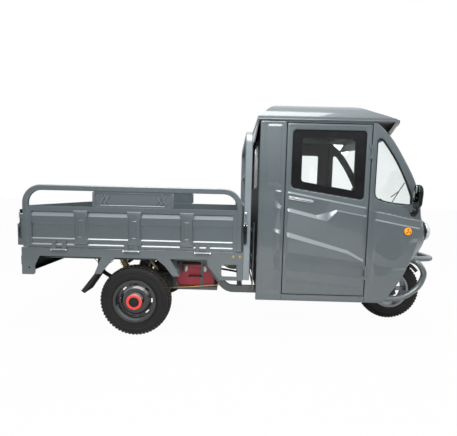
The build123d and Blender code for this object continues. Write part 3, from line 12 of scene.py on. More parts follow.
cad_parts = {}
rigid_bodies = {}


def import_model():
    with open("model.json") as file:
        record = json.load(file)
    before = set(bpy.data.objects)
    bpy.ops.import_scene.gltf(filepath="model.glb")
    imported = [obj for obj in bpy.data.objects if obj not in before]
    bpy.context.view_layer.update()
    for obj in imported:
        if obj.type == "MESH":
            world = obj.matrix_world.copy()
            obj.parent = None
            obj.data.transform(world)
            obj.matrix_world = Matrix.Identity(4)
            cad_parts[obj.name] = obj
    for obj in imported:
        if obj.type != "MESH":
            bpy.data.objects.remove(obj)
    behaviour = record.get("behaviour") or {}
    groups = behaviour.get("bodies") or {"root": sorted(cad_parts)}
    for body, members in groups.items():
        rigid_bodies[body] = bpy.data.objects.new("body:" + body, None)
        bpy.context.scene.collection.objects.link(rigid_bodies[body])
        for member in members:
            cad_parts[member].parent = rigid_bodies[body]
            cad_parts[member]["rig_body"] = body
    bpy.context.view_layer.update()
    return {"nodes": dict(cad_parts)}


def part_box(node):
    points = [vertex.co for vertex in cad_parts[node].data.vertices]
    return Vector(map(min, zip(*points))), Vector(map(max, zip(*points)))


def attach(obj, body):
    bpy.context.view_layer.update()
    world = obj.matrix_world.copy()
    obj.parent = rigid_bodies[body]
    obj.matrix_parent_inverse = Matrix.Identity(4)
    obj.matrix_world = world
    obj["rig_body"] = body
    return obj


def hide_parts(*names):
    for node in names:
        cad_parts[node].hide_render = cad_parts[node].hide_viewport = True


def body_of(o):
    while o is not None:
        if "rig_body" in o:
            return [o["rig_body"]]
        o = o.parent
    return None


bl_info = {
    "name": "Electric cargo tricycle",
    "version": (1, 0, 0),
    "blender": (4, 5, 0),
    "location": "View3D > Sidebar > Cargo tricycle",
    "description": "Dresses a closed-cab electric cargo tricycle, piece by piece",
    "category": "Object",
}

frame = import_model()

# Places along X are given in metres ahead of the rear axle, as in the part's source.
REAR_AXLE_X = sum(corner.x for corner in map(Vector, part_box("tyre_rear_left"))) / 2
WHEELBASE = 2.2
REAR_TRACK = 1.0
TYRE_R = 0.274
CAB_HALF_W = 0.53
RAKE = radians(22.0)
SIDES = (("left", 1), ("right", -1))
X, Y, Z = (Vector(axis) for axis in ((1, 0, 0), (0, 1, 0), (0, 0, 1)))


def at(x):
    """Turn metres ahead of the rear axle into the vehicle's frame."""
    return REAR_AXLE_X + x


def spot(x, y, z):
    """Place in the vehicle's frame, with x ahead of the rear axle."""
    return Vector((at(x), y, z))


# -------------------- node maths
class Wire:
    """A value that runs between nodes; sums on it add Math nodes."""

    def __init__(self, nodes, socket):
        self.nodes = nodes
        self.socket = socket

    def sum_with(self, operation, first, second):
        return self.nodes.node("ShaderNodeMath", {"operation": operation}, [first, second])

    def __add__(self, other):
        return self.sum_with("ADD", self, other)

    def __sub__(self, other):
        return self.sum_with("SUBTRACT", self, other)

    def __rsub__(self, other):
        return self.sum_with("SUBTRACT", other, self)

    def __mul__(self, other):
        return self.sum_with("MULTIPLY", self, other)

    __radd__, __rmul__ = __add__, __mul__

    def above(self, level, soft):
        """0 below a level and 1 above it, with a soft step."""
        settings = {"interpolation_type": "SMOOTHSTEP"}
        return self.nodes.node("ShaderNodeMapRange", settings, [self, level - soft, level + soft])

    def clear(self):
        """The value held between 0 and 1."""
        return self.nodes.node("ShaderNodeClamp", {}, [self])


class Nodes:
    """A node tree, filled through one method."""

    def __init__(self, tree):
        self.tree = tree
        tree.nodes.clear()

    def node(self, kind, settings, values, output=0):
        """Add a node: its settings first, then the values or wires of its sockets."""
        made = self.tree.nodes.new(kind)
        for key, value in settings.items():
            if key == "stops":
                ramp = made.color_ramp
                while len(ramp.elements) < len(value):
                    ramp.elements.new(0.5)
                for element, (position, colour) in zip(ramp.elements, value):
                    element.position, element.color = position, colour
            else:
                setattr(made, key, value)
        pairs = values.items() if isinstance(values, dict) else enumerate(values)
        for key, value in pairs:
            self.join(value, made.inputs[key])
        return None if output is None else Wire(self, made.outputs[output])

    def join(self, value, socket):
        if isinstance(value, Wire):
            self.tree.links.new(value.socket, socket)
        else:
            socket.default_value = value


FINISHES = {}


class Finish(Nodes):
    """One material, as a Principled shader with its nodes."""

    def __init__(self, name):
        self.material = FINISHES[name] = bpy.data.materials.new(name)
        self.material.use_nodes = True
        super().__init__(self.material.node_tree)
        self.shader = self.tree.nodes.new("ShaderNodeBsdfPrincipled")
        self.surface = self.tree.nodes.new("ShaderNodeOutputMaterial").inputs[0]
        self.join(Wire(self, self.shader.outputs[0]), self.surface)

    def set(self, **values):
        """Set the shader's sockets; an underscore stands for a space."""
        for key, value in values.items():
            self.join(value, self.shader.inputs[key.replace("_", " ")])

    def place(self, scale=(1.0, 1.0, 1.0)):
        """Object coordinates, scaled."""
        coordinates = self.node("ShaderNodeTexCoord", {}, {}, "Object")
        return self.node("ShaderNodeMapping", {}, {"Vector": coordinates, "Scale": scale})

    def coordinate(self, axis):
        """Place of the surface along one axis, in metres."""
        coordinates = self.node("ShaderNodeTexCoord", {}, {}, "Object")
        return self.node("ShaderNodeSeparateXYZ", {}, [coordinates], axis)

    def facing(self, axis):
        """How far the surface faces along one axis, from -1 to 1."""
        normal = self.node("ShaderNodeNewGeometry", {}, {}, "True Normal")
        return self.node("ShaderNodeSeparateXYZ", {}, [normal], axis)

    def noise(self, scale, detail=3.0, rough=0.55, place=None):
        values = {"Vector": place or self.place(), "Scale": scale, "Detail": detail,
                  "Roughness": rough}
        return self.node("ShaderNodeTexNoise", {}, values, "Fac")

    def cells(self, scale):
        values = {"Vector": self.place(), "Scale": scale}
        return self.node("ShaderNodeTexVoronoi", {}, values, "Distance")

    def mix(self, share, first, second):
        """Mix two colours."""
        settings = {"data_type": "RGBA"}
        pair = [(*c, 1.0) if isinstance(c, tuple) else c for c in (first, second)]
        return self.node("ShaderNodeMix", settings, {0: share, 6: pair[0], 7: pair[1]}, 2)

    def bump(self, height, depth, strength=1.0, soft_edge=0.0):
        """Normal from a height in metres; soft_edge rounds the sharp edges."""
        values = {"Height": height, "Distance": depth, "Strength": strength}
        if soft_edge:
            values["Normal"] = self.node("ShaderNodeBevel", {"samples": 4}, [soft_edge])
        return self.node("ShaderNodeBump", {}, values)


# -------------------- finishes
ROAD_DUST = (0.17, 0.155, 0.13)
# Colour of the painted highlight on upward-facing faces of the gloss paint.
LEDGE_HIGHLIGHT = (0.32, 0.35, 0.36)
CHASSIS_FILM = (0.15, 0.135, 0.115)


def gloss_paint(name, colour, dust=0.25, coat=0.9, metal=0.25, rough=0.34, edge=0.0025,
                pale=0.45, lining=None, lined=None):
    """Sprayed gloss paint: faint orange peel, cloudiness, and road dust low down.

    Faces that look upward are painted paler by the share pale: a painted highlight for the sky.
    lined(made) tells where the surface is lined instead, in the colour lining.
    """
    made = Finish(name)
    cloud = made.noise(2.3, 4.0)
    fine = made.noise(420.0, 2.0)
    low = 1.0 - made.coordinate("Z").above(0.62, 0.36)
    grime = (low * made.noise(9.0, 6.0, 0.65).above(0.5, 0.22) * dust).clear()
    dark = tuple(c * 0.9 for c in colour)
    light = tuple(min(1.0, c * 1.1) for c in colour)
    tint = made.mix(cloud, dark, light)
    # Painted highlight: upward-facing faces are made paler, standing in for the sky's reflection.
    painted_highlight = made.facing("Z").above(0.26, 0.1) * pale
    painted = made.mix(grime, made.mix(painted_highlight, tint, LEDGE_HIGHLIGHT), ROAD_DUST)
    matt = grime * 0.0
    if lined:
        matt = lined(made).clear()
        painted = made.mix(matt, painted, lining)
    made.set(
        Base_Color=painted,
        Metallic=(metal - matt).clear(),
        Roughness=(rough + 0.06 * made.noise(14.0, 5.0) + 0.35 * grime + 0.4 * matt).clear(),
        Normal=made.bump(fine, 0.00012, 0.35, edge),
        Coat_Weight=(coat - 0.6 * grime - matt).clear(),
        Coat_Roughness=0.06,
        Coat_IOR=1.75,
    )


def plain_plastic(name, colour, rough=0.5, grain=0.0004, scale=900.0, edge=0.0012, spec=0.3):
    """Moulded plastic with a fine grain and rubbed, slightly greyer patches."""
    made = Finish(name)
    wear = made.noise(18.0, 5.0, 0.6).above(0.55, 0.18)
    paler = tuple(min(1.0, c * 1.35 + 0.008) for c in colour)
    made.set(
        Base_Color=made.mix(0.45 * wear, colour, paler),
        Roughness=(rough + 0.12 * made.noise(30.0, 4.0) - 0.06).clear(),
        Normal=made.bump(made.noise(scale, 2.0), grain, 0.5, edge),
        Specular_IOR_Level=spec,
    )


def bright_metal(name, colour, rough=0.18, brushed=0.0, stain=(0.35, 0.28, 0.18), dirt=0.2):
    """Plated or bare metal, with stains and a brushed grain where asked."""
    made = Finish(name)
    spots = (made.noise(34.0, 6.0, 0.65).above(0.6, 0.12) * dirt).clear()
    grain = made.noise(60.0, 2.0, 0.5, made.place((1.0, 1.0, 40.0)))
    made.set(
        Base_Color=made.mix(spots, colour, stain),
        Metallic=(1.0 - 0.6 * spots).clear(),
        Roughness=(rough + 0.25 * spots + brushed * grain).clear(),
        Normal=made.bump(grain, 0.0001, 0.2 + brushed, 0.001),
    )


def clear_glass(name, tint, rough=0.01, through=1.0, ior=1.45):
    """Pane or lens."""
    made = Finish(name)
    ripple = made.noise(6.0, 2.0)
    made.set(
        Base_Color=(*tint, 1.0),
        Roughness=(rough + 0.02 * made.noise(40.0, 4.0)).clear(),
        Normal=made.bump(ripple, 0.0004, 0.15),
        Transmission_Weight=through,
        IOR=ior,
    )


def tyre_rubber(name, colour, dust_colour, dust):
    """Tyre rubber, dusty in random patches."""
    made = Finish(name)
    patches = made.noise(11.0, 6.0, 0.65).above(0.5, 0.25)
    film = (dust * patches).clear()
    made.set(
        Base_Color=made.mix(film, colour, dust_colour),
        Roughness=(0.52 + 0.28 * film + 0.08 * made.noise(60.0, 3.0)).clear(),
        Normal=made.bump(made.noise(700.0, 3.0), 0.0003, 0.5, 0.0008),
        Specular_IOR_Level=0.3,
    )


def rubbed_steel(name, colour, chip=(0.16, 0.1, 0.06), amount=0.35, rough=0.42, coat=0.2):
    """Brushed-on black or grey chassis paint, with rust chips and road dust."""
    made = Finish(name)
    chips = (made.noise(46.0, 7.0, 0.7).above(0.66, 0.05) * amount).clear()
    film = (made.noise(7.0, 5.0, 0.6).above(0.52, 0.2) * 0.35).clear()
    coloured = made.mix(film, colour, CHASSIS_FILM)
    made.set(
        Base_Color=made.mix(chips, coloured, chip),
        Metallic=0.1,
        Roughness=(rough + 0.3 * chips + 0.25 * film).clear(),
        Normal=made.bump(made.noise(160.0, 4.0), 0.0004, 0.4, 0.0018),
        Coat_Weight=(coat - chips - film).clear(),
        Coat_Roughness=0.2,
    )


def seat_vinyl(name, colour):
    """Seat cover: leather grain from two sizes of cell, with a soft sheen."""
    made = Finish(name)
    grain = made.cells(520.0) * 0.6 + made.cells(1400.0) * 0.4
    shade = made.noise(5.0, 4.0)
    made.set(
        Base_Color=made.mix(shade, tuple(c * 0.8 for c in colour), tuple(c * 1.25 for c in colour)),
        Roughness=(0.42 + 0.15 * made.noise(22.0, 4.0)).clear(),
        Normal=made.bump(grain, 0.0006, 0.5),
        Sheen_Weight=0.15,
        Sheen_Roughness=0.5,
    )
# -------------------- making meshes
def linked(name, data):
    """New object in the scene."""
    made = bpy.data.objects.new(name, data)
    bpy.context.scene.collection.objects.link(made)
    return made


def finished(name, mesh, body, finishes, angle):
    """Make the piece: smooth shading, materials, and the body it rides on."""
    for each in finishes:
        mesh.materials.append(FINISHES[each])
    mesh.shade_smooth()
    mesh.set_sharp_from_angle(angle=radians(angle))
    piece = linked(name, mesh)
    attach(piece, body)
    return piece


def ring_of(centre, radius, one=X, two=Z, count=96):
    """Closed ring of points round a centre, in the plane of two directions."""
    angles = [2 * pi * step / count for step in range(count)]
    return [centre + (one * cos(angle) + two * sin(angle)) * radius for angle in angles]


def skinned(part, rings, closed=False):
    """Lay faces between rings of corners; a ring of one corner is a pole."""
    for low, high in zip(rings, rings[1:] + (rings[:1] if closed else [])):
        sides = max(len(low), len(high))
        for step in range(sides if sides > 1 else 0):
            after = (step + 1) % sides
            corners = (low[step % len(low)], low[after % len(low)],
                       high[after % len(high)], high[step % len(high)])
            part.faces.new(list(dict.fromkeys(corners)))


def bevelled(part, edges, reach, steps, profile=0.5):
    """Round some edges of a bmesh."""
    bmesh.ops.bevel(part, geom=list(edges), offset=reach, segments=steps, profile=profile,
                    affect="EDGES")


class Form:
    """Builds one piece's mesh from blocks, tubes, turned shapes and cut plates."""

    def __init__(self):
        self.bm = bmesh.new()

    def take(self, part, colour=0, turn_out=True):
        """Move another bmesh into this one, with its faces' material number."""
        if turn_out:
            bmesh.ops.recalc_face_normals(part, faces=list(part.faces))
        for face in part.faces:
            face.material_index = colour
        spare = bpy.data.meshes.new("spare")
        part.to_mesh(spare)
        part.free()
        self.bm.from_mesh(spare)
        bpy.data.meshes.remove(spare)

    def block(self, middle, size, bevel=0.001, turn=None, colour=0, taper=(1.0, 1.0), steps=2):
        """Box with rounded edges; taper=(x, y) scales its top."""
        part = bmesh.new()
        bmesh.ops.create_cube(part, size=1.0)
        for vertex in part.verts:
            share = taper if vertex.co.z > 0 else (1.0, 1.0)
            vertex.co = Vector((vertex.co.x * size[0] * share[0],
                                vertex.co.y * size[1] * share[1], vertex.co.z * size[2]))
        if bevel:
            bevelled(part, part.edges, bevel, steps)
        if turn is not None:
            part.transform(turn.to_4x4())
        part.transform(Matrix.Translation(Vector(middle)))
        self.take(part, colour, False)

    def blocks(self, *rows):
        """Several blocks, each given as its own row of values."""
        for row in rows:
            self.block(*row)

    def turned(self, profile, origin, axis, sides=48, colour=0, closed=False):
        """Lathe a profile of (radius, reach along the axis) about an axis."""
        axis = Vector(axis).normalized()
        one = axis.orthogonal().normalized()
        two = axis.cross(one)
        part = bmesh.new()
        rings = []
        for radius, reach in profile:
            centre = Vector(origin) + axis * reach
            points = [centre] if radius <= 1e-6 else ring_of(centre, radius, one, two, sides)
            rings.append([part.verts.new(point) for point in points])
        skinned(part, rings, closed)
        self.take(part, colour)

    def tube(self, path, radius, sides=12, colour=0, closed=False, flat=1.0, squeezed=None):
        """Tube along a path of points; radius may be a list.

        flat squeezes it, along the direction squeezed where one is given.
        """
        path = [Vector(point) for point in path]
        count = len(path)
        radii = radius if isinstance(radius, list) else [radius] * count
        part = bmesh.new()
        rings = []
        normal = Vector(squeezed) if squeezed else None
        for index, point in enumerate(path):
            before = path[index - 1] if index or closed else point
            after = path[(index + 1) % count] if index < count - 1 or closed else point
            along = (after - before).normalized()
            if normal is None:
                normal = along.orthogonal().normalized()
            normal = (normal - along * normal.dot(along)).normalized()
            rings.append([part.verts.new(corner) for corner in
                          ring_of(point, radii[index], normal * flat, along.cross(normal), sides)])
        skinned(part, rings, closed)
        if not closed:
            part.faces.new(list(reversed(rings[0])))
            part.faces.new(rings[-1])
        self.take(part, colour)

    def plate(self, outline, thick, placed, bevel=0.0008, colour=0, steps=2):
        """Flat plate: an outline in its own X and Y, raised along its own Z, then placed."""
        part = bmesh.new()
        low, high = [[part.verts.new((x, y, z)) for x, y in outline] for z in (0.0, thick)]
        part.faces.new(list(reversed(low)))
        top = part.faces.new(high)
        skinned(part, [low, high])
        bmesh.ops.recalc_face_normals(part, faces=list(part.faces))
        if bevel:
            bevelled(part, top.edges, bevel, steps)
        part.transform(placed)
        self.take(part, colour, False)

    def mesh(self, name):
        """The finished mesh; nothing more is added to the form."""
        mesh = bpy.data.meshes.new(name)
        self.bm.to_mesh(mesh)
        self.bm.free()
        return mesh

    def made(self, name, body, *finishes, angle=32.0, slot=None, stands_for=None):
        """The finished piece, which may stand for one of the solids."""
        piece = finished(name, self.mesh(name), body, finishes, angle)
        if stands_for:
            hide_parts(stands_for)
        return piece


def facing(origin, outward, upward=Z):
    """Placing matrix: own Z along outward, own Y as near as it goes to upward."""
    z = Vector(outward).normalized()
    x = Vector(upward).cross(z).normalized()
    y = z.cross(x)
    placed = Matrix((x, y, z)).transposed().to_4x4()
    placed.translation = Vector(origin)
    return placed


def corner_arc(before, corner, after, radius, share, steps):
    """Points round one corner, no further along each run than its share of it."""
    back, on = before - corner, after - corner
    reach = min(radius, back.length * share, on.length * share)
    start, end = corner + back.normalized() * reach, corner + on.normalized() * reach
    return [start * (1 - t) ** 2 + corner * 2 * t * (1 - t) + end * t * t
            for t in (step / steps for step in range(steps + 1))]


def rounded(points, radius, steps=5):
    """Closed outline in a plane, with its corners rounded."""
    points = [Vector(point) for point in points]
    out = []
    for before, corner, after in zip(points[-1:] + points, points, points[1:] + points):
        out += corner_arc(before, corner, after, radius, 0.45, steps)
    return [tuple(point) for point in out]


def rectangle(low_x, low_y, high_x, high_y):
    """Corners of a rectangle."""
    return [(low_x, low_y), (high_x, low_y), (high_x, high_y), (low_x, high_y)]


def bent(points, radius, steps=6):
    """Open path of points in space with its inner corners rounded."""
    points = [Vector(point) for point in points]
    out = [points[0]]
    for before, corner, after in zip(points, points[1:], points[2:]):
        out += corner_arc(before, corner, after, radius, 0.48, steps)
    out.append(points[-1])
    return out


def run_length(start, end):
    """Length of a straight run in a plane."""
    return sqrt((end[0] - start[0]) ** 2 + (end[1] - start[1]) ** 2)


def spread(outline, gap):
    """Points along a closed outline, about a gap apart."""
    out = []
    for index, start in enumerate(outline):
        end = outline[(index + 1) % len(outline)]
        count = max(1, int(run_length(start, end) / gap + 0.5))
        for step in range(count):
            t = step / count
            out.append((start[0] + (end[0] - start[0]) * t, start[1] + (end[1] - start[1]) * t))
    return out


def inside(points, outline):
    """Which of the points lie inside a closed outline."""
    x, y = points[:, 0], points[:, 1]
    held = np.zeros(len(points), dtype=bool)
    for index, (x1, y1) in enumerate(outline):
        x0, y0 = outline[index - 1]
        crosses = (y0 > y) != (y1 > y)
        with np.errstate(divide="ignore", invalid="ignore"):
            reach = (x1 - x0) * (y - y0) / ((y1 - y0) or 1e-12) + x0
        held ^= crosses & (x < reach)
    return held


def on_sheet(points, edge, rims):
    """Which of the points lie inside the edge and outside every hole's rim."""
    held = inside(points, edge)
    for rim in rims:
        held &= ~inside(points, rim)
    return held


def edge_distance(points, *outlines):
    """Distance of each point from the nearest of some closed outlines."""
    best = np.full(len(points), 9.0)
    for start, end in ((o[i - 1], o[i]) for o in outlines for i in range(len(o))):
        start = np.array(start)
        run = np.array(end) - start
        length = max(float(run @ run), 1e-12)
        share = np.clip(((points - start) @ run) / length, 0.0, 1.0)
        away = points - (start + share[:, None] * run)
        best = np.minimum(best, np.sqrt((away ** 2).sum(axis=1)))
    return best


def pressed_sheet(outline, holes, creases, relief, skin, gap, lip=0.004, turn_in=0.006):
    """Pressed steel skin as a bmesh.

    outline and holes are closed outlines of (x, z); creases are polylines that the mesh
    follows; relief(x, z) is how far the skin stands out, and skin(x, z, out) places it.
    """
    edge = spread(outline, gap * 0.8)
    rims = [spread(hole, gap * 0.6) for hole in holes]
    points, edges = [], []
    for loop in [edge] + rims:
        base = len(points)
        points += loop
        edges += [(base + i, base + (i + 1) % len(loop)) for i in range(len(loop))]
    solid = np.array(edge)
    low, high = solid.min(axis=0), solid.max(axis=0)
    grid = []
    row = 0
    z = low[1] + gap / 2
    while z < high[1]:
        x = low[0] + gap * (0.25 if row % 2 else 0.75)
        while x < high[0]:
            grid.append((x, z))
            x += gap
        z += gap
        row += 1
    for line in creases:
        for start, end in zip(line, line[1:]):
            count = max(1, int(run_length(start, end) / (gap * 0.6)))
            grid += [(start[0] + (end[0] - start[0]) * s / count,
                      start[1] + (end[1] - start[1]) * s / count) for s in range(count + 1)]
    grid = np.array(grid)
    keep = on_sheet(grid, edge, rims) & (edge_distance(grid, edge, *rims) > gap * 0.3)
    points += [tuple(point) for point in grid[keep]]
    made = delaunay_2d_cdt([Vector(point) for point in points], edges, [], 0, 1e-6)
    flat, faces = np.array([tuple(vertex) for vertex in made[0]]), np.array(made[2])
    keep = on_sheet(flat[faces].mean(axis=1), edge, rims)
    away = edge_distance(flat, edge, *rims)
    part = bmesh.new()
    verts = []
    for (x, z), from_edge in zip(flat, away):
        share = min(1.0, from_edge / lip)
        out = relief(x, z) - lip * 0.5 * (1.0 - share) ** 2
        verts.append(part.verts.new(skin(x, z, out)))
    for a, b, c in faces[keep]:
        part.faces.new((verts[a], verts[b], verts[c]))
    bmesh.ops.delete(part, geom=[v for v in part.verts if not v.link_faces], context="VERTS")
    bmesh.ops.recalc_face_normals(part, faces=list(part.faces))
    inward = skin(flat[0][0], flat[0][1], -turn_in) - skin(flat[0][0], flat[0][1], 0.0)
    rim_edges = [e for e in part.edges if e.is_boundary]
    grown = bmesh.ops.extrude_edge_only(part, edges=rim_edges)["geom"]
    for item in grown:
        if isinstance(item, bmesh.types.BMVert):
            item.co += inward
    outward = -inward.normalized()
    sheet = [f for f in part.faces if len(f.verts) == 3]
    if sum(f.normal.dot(outward) * f.calc_area() for f in sheet) < 0:
        bmesh.ops.reverse_faces(part, faces=list(part.faces))
    return part


# -------------------- repeated bits
class Rule(Nodes):
    """A Geometry Nodes tree with named inputs."""

    def __init__(self, name, sizes):
        super().__init__(bpy.data.node_groups.new(name, "GeometryNodeTree"))
        face = self.tree.interface
        face.new_socket("Geometry", in_out="OUTPUT", socket_type="NodeSocketGeometry")
        for label, kind, value in [("Geometry", "Geometry", None)] + sizes:
            socket = face.new_socket(label, in_out="INPUT", socket_type="NodeSocket" + kind)
            if value is not None:
                socket.default_value = value

    def given(self, label):
        """What the input of that name holds."""
        return self.node("NodeGroupInput", {}, {}, label)

    def attribute(self, label):
        """A direction kept on each point."""
        return self.node("GeometryNodeInputNamedAttribute", {"data_type": "FLOAT_VECTOR"},
                         {"Name": label}, "Attribute")

    def aimed(self, axis, way, start=None, pivot="AUTO"):
        """Rotation that turns an axis some way, on from a start and about a pivot axis."""
        values = {"Vector": way, "Rotation": start} if start else {"Vector": way}
        return self.node("FunctionNodeAlignRotationToVector",
                         {"axis": axis, "pivot_axis": pivot}, values)

    def set_on(self, points, label, turn, **more):
        """Instances of an input's object on points."""
        shape = self.node("GeometryNodeObjectInfo", {"transform_space": "ORIGINAL"},
                          {"Object": self.given(label)}, "Geometry")
        return self.node("GeometryNodeInstanceOnPoints", {},
                         {"Points": points, "Instance": shape, "Rotation": turn, **more})

    def ended(self, shape, finish):
        """The whole tree, its instances made real and given their material."""
        real = self.node("GeometryNodeRealizeInstances", {}, {"Geometry": shape})
        self.node("NodeGroupOutput", {}, {"Geometry": self.node(
            "GeometryNodeSetMaterial", {}, {"Geometry": real, "Material": FINISHES[finish]})}, None)
        return self.tree


def grown(name, tree, inputs, body, finish, start=None, slot=None):
    """Run a Geometry Nodes tree on a piece, keep the result as a plain mesh, and ride it."""
    holder = linked(name + "_plan", start or bpy.data.meshes.new(name + "_plan"))
    modifier = holder.modifiers.new("shape", "NODES")
    modifier.node_group = tree
    sockets = {item.name: item.identifier for item in tree.interface.items_tree
               if item.item_type == "SOCKET" and item.in_out == "INPUT"}
    for label, value in inputs.items():
        modifier[sockets[label]] = value
    graph = bpy.context.evaluated_depsgraph_get()
    mesh = bpy.data.meshes.new_from_object(holder.evaluated_get(graph))
    mesh.name = name
    bpy.data.objects.remove(holder)
    if len(mesh.polygons) == 0:
        raise RuntimeError(name + " came out empty")
    mesh.materials.clear()
    return finished(name, mesh, body, [finish], 32.0)


def at_points_rule(name, finish):
    """Rule that sets a small shape on every point, turned to the point's directions."""
    rule = Rule(name, [("Shape", "Object", None), ("Size", "Float", 1.0)])
    turn = rule.aimed("Z", rule.attribute("outward"))
    turn = rule.aimed("X", rule.attribute("ahead"), turn, "Z")
    dots = rule.node("GeometryNodeMeshToPoints", {}, {"Mesh": rule.given("Geometry")})
    return rule.ended(rule.set_on(dots, "Shape", turn, Scale=rule.given("Size")), finish)


def repeated(name, body, finish, places, pattern, slot):
    """Small shape repeated at (place, outward, ahead); pattern is a Form holding the shape."""
    cloud = bpy.data.meshes.new(name + "_points")
    cloud.from_pydata([tuple(place[0]) for place in places], [], [])
    for column, label in enumerate(("outward", "ahead"), 1):
        values = cloud.attributes.new(label, "FLOAT_VECTOR", "POINT")
        for index, row in enumerate(places):
            values.data[index].vector = tuple(row[column])
    shape = linked(name + "_shape", pattern.mesh(name + "_shape"))
    grown(name, at_points_rule(name + "_rule", finish), {"Shape": shape}, body, finish, cloud, slot)
    bpy.data.objects.remove(shape)




# -------------------- sizes and colours
class CARGO_PG_colours(PropertyGroup):
    """Colours of the vehicle's own finishes."""

    body: FloatVectorProperty(
        name="Body paint", description="Gloss paint of the cab, the bed and the chassis",
        subtype="COLOR", default=(0.09, 0.112, 0.121))
    rack: FloatVectorProperty(
        # Paler than the body paint: the extra lightness is a painted reflection on the rack.
        name="Rack paint", description="Paler paint of the rack behind the cab",
        subtype="COLOR", default=(0.2, 0.235, 0.255))
    ring: FloatVectorProperty(
        name="Hub ring", description="Ring round each rear hub cap",
        subtype="COLOR", default=(0.8, 0.035, 0.025))
    battery: FloatVectorProperty(
        name="Battery box", description="Paint of the battery box",
        subtype="COLOR", default=(0.38, 0.01, 0.03))
    amber: FloatVectorProperty(
        name="Amber", description="Plastic of the side signals",
        subtype="COLOR", default=(0.95, 0.33, 0.012))


class CARGO_PG_light(PropertyGroup):
    """Studio light and floor."""

    sky: FloatProperty(name="Sky", description="Strength of the soft light from all round",
                       default=0.42, min=0.0)
    key: FloatProperty(name="Key lamp", description="Power of the large lamp overhead",
                       default=260.0, min=0.0, subtype="POWER")
    fill: FloatProperty(name="Fill lamp", description="Power of the lamp by the camera",
                        default=60.0, min=0.0, subtype="POWER")


def within_cab(made):
    """1 on the surfaces inside the cab's skin."""
    side = made.node("ShaderNodeMath", {"operation": "ABSOLUTE"}, [made.coordinate("Y")])
    ahead = made.coordinate("X").above(at(0.921), 0.001)
    return (1.0 - side.above(CAB_HALF_W - 0.014, 0.001)) * ahead


def under_roof(made):
    """1 on the roof's underside and on the back of its visor."""
    under = 1.0 - made.facing("Z").above(-0.3, 0.02)
    behind = (1.0 - made.facing("X").above(-0.4, 0.02)) * made.coordinate("X").above(at(1.7), 0.02)
    return under + behind


def make_finishes(colours):
    body = tuple(colours.body)
    gloss_paint("body_paint", body)
    gloss_paint("cab_paint", body, lining=(0.01, 0.01, 0.011), lined=within_cab)
    # Roof lining: its own tan, lifted threefold as painted light for the dim visor underside.
    gloss_paint("roof_paint", body, pale=0.1, lining=(0.3, 0.285, 0.26), lined=under_roof)
    gloss_paint("nose_paint", body, lining=(0.01, 0.01, 0.011),
                lined=lambda made: 1.0 - made.facing("X").above(-0.25, 0.02))
    gloss_paint("chassis_paint", tuple(c * 0.82 for c in body), dust=0.5, coat=0.45, rough=0.4)
    # The rack's paler colour is a painted reflection.
    gloss_paint("rack_paint", tuple(colours.rack), dust=0.1, coat=0.6, rough=0.36)
    gloss_paint("rim_black", (0.004, 0.004, 0.0045), dust=0.05, coat=0.6, metal=0.0, rough=0.18)
    gloss_paint("bumper_paint", tuple(c * 0.95 for c in body), dust=0.15, coat=0.9)
    gloss_paint("battery_red", tuple(colours.battery), dust=0.15, coat=0.25, metal=0.0, rough=0.45)
    gloss_paint("ring_red", tuple(colours.ring), dust=0.05, coat=0.5, metal=0.0, edge=0.0015)
    rubbed_steel("axle_black", (0.016, 0.016, 0.017))
    rubbed_steel("motor_grey", (0.055, 0.056, 0.06), amount=0.15, rough=0.5)
    rubbed_steel("frame_black", (0.012, 0.012, 0.013), amount=0.1, rough=0.35, coat=0.5)
    plain_plastic("black_plastic", (0.009, 0.009, 0.01), 0.45, spec=0.3)
    plain_plastic("gloss_black", (0.004, 0.004, 0.005), 0.16, 0.0001, 500.0, spec=0.4)
    plain_plastic("grey_lining", (0.055, 0.058, 0.06), 0.65, 0.0006, 420.0)
    plain_plastic("seal_rubber", (0.008, 0.008, 0.008), 0.55, 0.0002, 800.0)
    plain_plastic("flap_rubber", (0.014, 0.014, 0.015), 0.6, 0.0004, 260.0)
    plain_plastic("amber_plastic", tuple(colours.amber), 0.18, 0.0003, 300.0, spec=0.6)
    plain_plastic("amber_dark", (0.5, 0.1, 0.004), 0.25, 0.0003, 300.0)
    plain_plastic("lamp_red", (0.3, 0.008, 0.008), 0.14, 0.0003, 240.0, spec=0.6)
    plain_plastic("grip_rubber", (0.015, 0.015, 0.016), 0.68, 0.0008, 500.0)
    plain_plastic("white_plastic", (0.72, 0.74, 0.76), 0.3, 0.0001, 500.0)
    bright_metal("chrome", (0.86, 0.87, 0.88), 0.07, dirt=0.12)
    bright_metal("reflector", (0.9, 0.91, 0.93), 0.14, dirt=0.0)
    bright_metal("zinc", (0.62, 0.62, 0.6), 0.32, 0.15)
    bright_metal("yellow_zinc", (0.62, 0.47, 0.2), 0.3, 0.15, (0.3, 0.2, 0.1), 0.4)
    bright_metal("spoke_silver", (0.3, 0.31, 0.33), 0.4, 0.05, (0.2, 0.18, 0.15), 0.35)
    bright_metal("bare_steel", (0.42, 0.41, 0.4), 0.38, 0.2, (0.22, 0.12, 0.07), 0.5)
    bright_metal("mirror_glass", (0.22, 0.25, 0.25), 0.05, dirt=0.0)
    clear_glass("pane_glass", (0.93, 0.96, 0.955), ior=1.22)
    # The lens's grey is painted shade, standing in for the shading seen on its clear dome.
    clear_glass("lens_glass", (0.56, 0.6, 0.64), 0.06, 0.12)
    tyre_rubber("tyre_side", (0.0085, 0.0085, 0.009), (0.06, 0.055, 0.05), 0.1)
    tyre_rubber("tyre_tread", (0.012, 0.0115, 0.011), (0.11, 0.092, 0.07), 0.55)
    seat_vinyl("seat_cover", (0.017, 0.017, 0.019))


